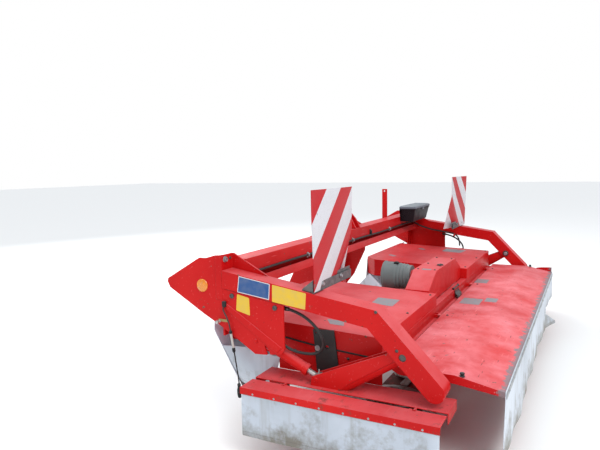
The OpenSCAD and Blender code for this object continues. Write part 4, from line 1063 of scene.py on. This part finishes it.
def makePlateGear(side, word, s):
    setOn(makeClip("cordClip" + word, side, *s["clip"], .003), "frame", blackPlastic)
    gear = [setOn(sideBar(name + word, side, a, b, profile), "frame", mat)
            for name, (a, b, mat, profile) in cordGear.items()]
    cord = makeCord("pullCord" + word, cordSet["pull"], side)
    # tab, narrowed at its ends, with its ball bolt
    tab = startBlock("ballTab" + word, *sideBox(side, *s["tab"]))
    pickFaces(tab, lambda c, n: abs(n.y) > .9)
    bpy.ops.transform.resize(value=(1, 1, .6))
    backToObject()
    setOn(smoothBy(roundEdges(tab, .002, 2), 40), "frame", dullYellow)
    ball = makeTurned("ballBolt" + word, s["ballProfile"], 24)
    setOn(stand(ball, onSide(s["ball"], side), (side, 0, 0)), "frame", brightSteel)
    return cord


for side, word in bothEnds:
    cord = makePlateGear(side, word, plateSet)
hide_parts("pull_cables")


# hose ends: block under the arm, swivel nuts and crimped ferrules
hoseEndSet = {
    "block": ((1.43, .164, .6225), (1.45, .178, .6535)),
    "upper": ((1.44, .165, .6337), (1.44, .132, .6312),
              [(.011, 0), (.011, .3), (.0085, .34), (.0095, .4), (.0095, .92), (.008, 1)], 24),
    "nut": {"place": (1.44, .1645, .6337), "radius": .0125, "length": .01},
    "lower": ((1.4245, .219, .4908), (1.422, .243, .4912),
              [(.008, 0), (.0095, .08), (.0095, .55), (.0085, .6), (.0112, .65), (.0112, 1)], 24)}


def makeHoseEnds(side, word, s):
    setOn(makeClip("hoseBlock" + word, side, *s["block"], .002), "frame", redPaint)
    upper = sideBar("upper", side, *s["upper"])
    nut = startRound("nut", (0, 0, s["nut"]["length"] / 2), s["nut"]["radius"], s["nut"]["length"], 6)
    roundEdges(nut, .0008, 1)
    stand(nut, onSide(s["nut"]["place"], side), onSide(forward, side))
    setOn(joinAll("hoseFittingUpper" + word, [upper, smoothBy(nut, 30)]), "frame", darkSteel)
    setOn(sideBar("hoseFittingLower" + word, side, *s["lower"]), "frame", zinc)


for side, word in bothEnds:
    makeHoseEnds(side, word, hoseEndSet)


# rubber flaps on the hoods' ends: limp sheet, punched twice, with a washer
flapSet = {"corners": [(.052, .336), (.07, .523), (-.031, .529), (-.053, .361)], "x": 1.3335, "thick": .0055,
           "curl": .004, "holes": ((.002, .45, .0085), (.056, .508, .0035)), "washer": (1.3372, .049, .44),
           "profile": [(.0125, 0), (.0125, .0016), (.0118, .0022), (.0065, .0022), (.006, .0052), (.0035, .0062)]}


def makeFlap(name, side, s):
    obj = startGrid(name, 18, 24)
    backLow, backHigh, frontHigh, frontLow = (Vector((0, *corner)) for corner in s["corners"])
    for v in obj.data.vertices:
        u, t = v.co.x + .5, v.co.y + .5
        place = frontLow.lerp(backLow, u).lerp(frontHigh.lerp(backHigh, u), t)
        out = s["curl"] * ((1 - t) ** 2 * (.6 + .4 * math.sin(u * 7)) + .5 * max(0.0, u - .75) * 4 * t)
        v.co = (side * (s["x"] + out), place.y, place.z)
    thicken(obj, s["thick"])
    for y, z, radius in s["holes"]:
        cutWith(obj, startRound("cutter", (side * s["x"], y, z), radius, .05, 24, "X"))
    openEdit(obj)
    endOutward()
    roundEdges(obj, .0008, 2, 50)
    return smoothBy(obj, 40)


for side, word in bothEnds:
    flap = setOn(makeFlap("rubberFlap" + word, side, flapSet), "cutting_unit", hoseRubber)
    washer = makeTurned("flapWasher" + word, flapSet["profile"], 28)
    setOn(stand(washer, onSide(flapSet["washer"], side), (side, 0, 0)), "cutting_unit", zinc)
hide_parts("rubber_flaps")


# knobs at the front guard's ends
knobSet = {"place": (1.318, -.577, .4078), "profile": [
    (.011, 0), (.011, .002), (.006, .0025), (.006, .006), (.009, .008), (.01, .011), (.0085, .0145),
    (.0045, .016)]}
for side, word in bothEnds:
    knob = makeTurned("guardKnob" + word, knobSet["profile"], 24)
    setOn(stand(knob, onSide(knobSet["place"], side), upward), "front_guard", blackPlastic)


# latch on the channel behind the guard, with its pin
latchSet = {"low": (.035, -.272, .3925), "high": (.15, -.251, .4445), "thick": .003, "bends": (.412, .43),
            "offset": .0175, "pin": ((.02, -.245, .456), (.168, -.245, .456), [
                (.007, 0), (.009, .04), (.005, .1), (.005, .9), (.009, .96), (.007, 1)])}


def makeLatch(name, s):
    # plate bent over the channel: a flat strip folded along two lines
    obj = startBlock(name, s["low"], (s["high"][0], s["low"][1] + s["thick"], s["high"][2]))
    for z in s["bends"]:
        openEdit(obj)
        bpy.ops.mesh.bisect(plane_co=(0, 0, z), plane_no=(0, 0, 1))
        backToObject()
    first, second = s["bends"]
    for v in obj.data.vertices:
        v.co.y += s["offset"] * clamp((v.co.z - first) / (second - first))
    roundEdges(obj, .0012, 2, 20)
    return smoothBy(obj, 35)


setOn(makeLatch("guardLatch", latchSet), "cutting_unit", darkSteel)
setOn(barBetween("latchPin", *latchSet["pin"]), "cutting_unit", darkSteel)
print("small parts on")


# flat bar that holds the hose ends while parked, drilled near its top
holderSet = {"low": (.882, .49, .755), "high": (.89, .532, 1.055), "foot": (.882, .49, .762),
             "footHigh": (.934, .498, .814), "hole": (.886, .513, 1.038), "holeRadius": .0065}


def makeHolder(name, s):
    bar = startBlock(name, s["low"], s["high"])
    pickFaces(bar, isTop)
    bpy.ops.mesh.inset(thickness=.0012)
    drawOut(0, 0, -.0015)
    backToObject()
    cutWith(bar, startRound("hole", s["hole"], s["holeRadius"], .05, 24, "X"))
    foot = startBlock("foot", s["foot"], s["footHigh"])
    roundEdges(foot, .002, 2)
    roundEdges(bar, .0015, 2)
    return smoothBy(joinAll(name, [bar, foot]), 35)


setOn(makeHolder("hoseHolderBar", holderSet), "frame", redPaint, "hose_holder")


# folded lip along the beam's lower edge: its face leans back
lipSet = {"low": (-1.37, .366, .69), "high": (1.37, .3915, .728), "lean": .3885,
          "front": .37, "top": .72}
beamLip = startBlock("beamLip", lipSet["low"], lipSet["high"])
for v in beamLip.data.vertices:
    if v.co.y < lipSet["front"] and v.co.z > lipSet["top"]:
        v.co.y = lipSet["lean"]
setOn(smoothBy(roundEdges(beamLip, .003, 3), 40), "frame", redPaint)


# clips of the lamp cable on the beam: rounded saddles, given by place along the beam, width, height and level
saddleSet = {"black": (.223, .02, .052, .77), "silver": (-.107, .016, .03, .757), "plain": (.64, .016, .03, .755),
             "left": (-.76, .016, .03, .754)}
saddleDepth = {"front": .3862, "back": .3905, "out": -.0105, "step": .12, "narrow": .62}
armClip = {"place": (1.3687, .038, .634), "way": (0, 1, .32),
           "profile": [(.01, 0), (.0115, .001), (.0115, .013), (.01, .014)]}


def makeSaddle(name, x, width, height, z, s):
    # strap bent over the cable: a block whose front is drawn out and rounded
    obj = startBlock(name, (x - width / 2, s["front"], z - height / 2), (x + width / 2, s["back"], z + height / 2))
    pickFaces(obj, lambda c, n: n.y < -.9)
    bpy.ops.mesh.inset(thickness=width * s["step"])
    drawOut(0, s["out"], 0)
    bpy.ops.transform.resize(value=(1, 1, s["narrow"]))
    backToObject()
    return smoothBy(roundEdges(obj, .0016, 3), 40)


for word, sizes in saddleSet.items():
    clip = makeSaddle(word + "CableClip", *sizes, saddleDepth)
    setOn(clip, "frame", blackPlastic if word == "black" else zinc)
endClip = makeTurned("armCableClip", armClip["profile"], 24)
setOn(stand(endClip, armClip["place"], armClip["way"]), "frame", redPaint)


# bolts in a cluster on the centre cover, given by place and radius
clusterSet = [((-.062, -.17, .617), .0078), ((-.043, -.178, .617), .0064), ((-.081, -.186, .617), .0064),
              ((-.052, -.192, .617), .0058)]
parts = []
for place, r in clusterSet:
    bolt = makeTurned("bolt", [(r * 1.35, 0), (r * 1.35, .0016), (r, .0018), (r, .007), (r * .8, .0084),
                               (r * .5, .008)], 18)
    parts.append(stand(bolt, place, upward))
setOn(joinAll("coverBoltCluster", parts), "cutting_unit", darkSteel)


# clip on the shaft bell
bellSet = {"low": (-.036, .098, .6035), "high": (-.01, .128, .6135), "step": .004}
bellClip = startBlock("bellClip", bellSet["low"], bellSet["high"])
pickFaces(bellClip, isTop)
bpy.ops.mesh.inset(thickness=bellSet["step"])
drawOut(0, 0, bellSet["step"])
backToObject()
setOn(smoothBy(roundEdges(bellClip, .0014, 2), 40), "cutting_unit", blackPlastic)


# bead along the end walls' lap joint
beadSet = {"line": [(1.3305, -.206, .4303), (1.3305, .07, .448), (1.3305, .235, .468)],
           "profile": [(.002, 0), (.0036, .01), (.0036, .99), (.002, 1)]}
for side, word in bothEnds:
    line = beadSet["line"]
    parts = [sideBar("bead", side, a, b, beadSet["profile"], 16) for a, b in zip(line, line[1:])]
    setOn(joinAll("wallBead" + word, parts), "cutting_unit", blackPlastic)


# lip folded up at the front guard's far corner
cornerSet = {"x": 1.322, "roll": .0055, "from": -.62, "length": .116, "rise": .036, "thick": .003,
             "level": .4105, "levelAt": -.55, "slope": .196}


def makeLip(name, s):
    obj = startGrid(name, 12, 8)
    for v in obj.data.vertices:
        u, t = v.co.x + .5, v.co.y + .5
        y = s["from"] - s["length"] * u
        rise = s["rise"] * math.sin(t * math.pi / 2) * u ** .7
        # its foot follows the guard's slope
        foot = s["level"] + s["slope"] * (y - s["levelAt"])
        v.co = (s["x"] + s["roll"] * math.cos(t * math.pi / 2), y, foot + rise)
    makeShell(obj, s["thick"])
    return smoothBy(roundEdges(obj, .0008, 2, 50), 45)


setOn(makeLip("guardCornerLip", cornerSet), "front_guard", guardPaint)


# linch pins with their rings at the hitch, and the stands' latch pins of shank, handle and collar
ringSet = {"middle": (.457, .6995, .392), "way": (.9, .2, .4), "radius": .0215, "thick": .0019,
           "flatFrom": .75, "flatBy": .5, "spring": .12}
linchSet = ((.457, .72, .344), (.457, .72, .398),
            [(.003, 0), (.0048, .06), (.0048, .72), (.0095, .76), (.01, .9), (.007, 1)], 20)
standSet = {
    "shank": ((.29, .66, .43), (.216, .66, .43),
              [(.005, 0), (.0068, .05), (.0068, .4), (.0115, .41), (.0115, .5), (.0068, .52), (.0068, .94),
               (.0055, 1)], 24),
    "handle": ((.2205, .66, .4345), (.2205, .66, .372), [(.0045, 0), (.0058, .06), (.0058, .92), (.004, 1)], 20),
    "collar": ((.2205, .66, .438), (.2205, .66, .424), [(.007, 0), (.0085, .2), (.0085, .8), (.007, 1)], 20)}


def makeRing(name, side, s):
    allClear()
    bpy.ops.mesh.primitive_torus_add(major_radius=s["radius"], minor_radius=s["thick"], major_segments=40,
                                     minor_segments=12)
    obj = named(name)
    # a sprung ring is not quite round and comes to a flat at its hinge
    for v in obj.data.vertices:
        flat = max(0.0, -v.co.x / s["radius"] - s["flatFrom"])
        v.co.x += flat * s["radius"] * s["flatBy"]
        v.co.z += s["spring"] * s["thick"] * math.sin(3 * math.atan2(v.co.y, v.co.x))
    return smoothBy(stand(obj, onSide(s["middle"], side), onSide(s["way"], side)), 60)


for side, word in bothEnds:
    pin = sideBar("linch", side, *linchSet)
    setOn(joinAll("linchPin" + word, [pin, makeRing("ring", side, ringSet)]), "frame", zinc)
    parts = [sideBar(name, side, *sizes) for name, sizes in standSet.items()]
    setOn(joinAll("standLatchPin" + word, parts), "frame", zinc)
print("hitch hardware on")


# splined input shaft: neck, groove and six teeth
shaftSet = {"from": -.109, "shoulder": .089, "to": .165, "neck": .0225, "tip": .0175, "root": .0148, "z": .52,
            "teeth": 6, "grooveBack": .002}


def makeSplined(name, s):
    neck, outer, root = s["neck"], s["tip"], s["root"]
    body = barBetween(name, (0, s["from"], s["z"]), (0, s["shoulder"], s["z"]),
                      [(neck - .001, 0), (neck, .01), (neck, .97), (outer, 1)], 48)
    middle = (0, (s["shoulder"] + s["to"]) / 2, s["z"])
    tip = startRound("tip", middle, root, s["to"] - s["shoulder"], s["teeth"] * 6, "Y")

    def onTooth(c, n):
        turn = math.atan2(c.z - s["z"], c.x) / (2 * math.pi) * s["teeth"]
        return abs(n.y) < .5 and (turn % 1.0) < .5
    pickFaces(tip, onTooth)
    bpy.ops.mesh.extrude_region_shrink_fatten(TRANSFORM_OT_shrink_fatten={"value": outer - root})
    backToObject()
    groove = makeTurned("groove", [(outer - .001, 0), (outer + .0002, .0012), (outer + .0002, .004),
                                   (root + .0002, .0052), (root + .0002, .01), (root - .001, .0112)], 48)
    stand(groove, (0, s["shoulder"] - s["grooveBack"], s["z"]), backward)
    roundEdges(tip, .0005, 1, 40)
    return smoothBy(joinAll(name, [body, smoothBy(tip, 30), groove]), 32)


setOn(makeSplined("splinedShaft", shaftSet), "input_shaft", brightSteel, "input_shaft")


# clamping strips along the canvases with their rivets
rivetProfile = [(.0062, 0), (.006, .0008), (.0045, .0022), (.002, .003)]
frontStrip = ((-1.318, -.7455, .3425), (1.318, -.7432, .3655))
sideStrip = ((1.5958, -.548, .283), (1.5978, .278, .303))


def makeStrip(name, low, high, count, way, axis):
    # the rivets stand on the face that looks that way, in a row along the axis
    strip = startBlock(name, low, high)
    roundEdges(strip, .0008, 2)
    parts = [smoothBy(strip, 40)]
    low, high = Vector(low), Vector(high)
    for i in range(count):
        place = (low + high) / 2
        place[axis] = low[axis] + (high[axis] - low[axis]) * ((i + .5) / count)
        for k in range(3):
            if abs(way[k]) > .5:
                place[k] = high[k] if way[k] > 0 else low[k]
        parts.append(stand(makeTurned("rivet", rivetProfile, 16), place, way))
    return joinAll(name, parts)


setOn(makeStrip("frontClampStrip", *frontStrip, 18, forward, 0), "front_guard", zinc)
for side, word in bothEnds:
    strip = makeStrip("sideClampStrip" + word, *sideBox(side, *sideStrip), 8, (side, 0, 0), 1)
    setOn(strip, "side_guard_" + word.lower(), zinc)
print("strips and shaft on")


# studio: pale floor, overcast sky that is dim along the horizon, two soft lamps
studioSet = {"floor": 80, "pale": (.88, .88, .87, 1), "sky": (0.0, .55, .42, 1.1), "cool": (.93, .96, 1.0, 1),
             "aim": (0, 0, .4),
             "lamps": (("keyLamp", (-3.5, -4.0, 5.5), 4.0, 220), ("fillLamp", (2.5, 5.5, 4.0), 5.0, 260))}


def makeFloor(s):
    allClear()
    bpy.ops.mesh.primitive_plane_add(size=s["floor"], location=(0, 0, 0))
    floor = named("paleFloor")
    m = lookKit("paleFloor")
    m.colour = s["pale"]
    floor.data.materials.append(m.end(.9))


def makeSky(s):
    world = bpy.data.worlds.new("studioSky")
    bpy.context.scene.world = world
    m = nodeKit(world)
    rays = m.add("LightPath")
    seen = m.sums("MAXIMUM", rays["Is Camera Ray"], rays["Is Transmission Ray"])
    white = m.add("Background", {0: (1, 1, 1, 1), 1: 1.0})[0]
    level = m.fade(m.split(m.add("TexCoord")["Generated"])["Z"], *s["sky"])
    soft = m.add("Background", {0: s["cool"], 1: level})[0]
    m.add("OutputWorld", {0: m.add("MixShader", {0: seen, 1: soft, 2: white})[0]})


def makeLamp(name, place, size, power, aim):
    lamp = withSettings(bpy.data.lights.new(name, "AREA"), shape="DISK", size=size, energy=power)
    linked(name, lamp).matrix_world = towards(place, Vector(place) - Vector(aim))


makeFloor(studioSet)
makeSky(studioSet)
for lamp in studioSet["lamps"]:
    makeLamp(*lamp, studioSet["aim"])
bpy.context.scene.view_settings.view_transform = "Standard"
print("studio lit")
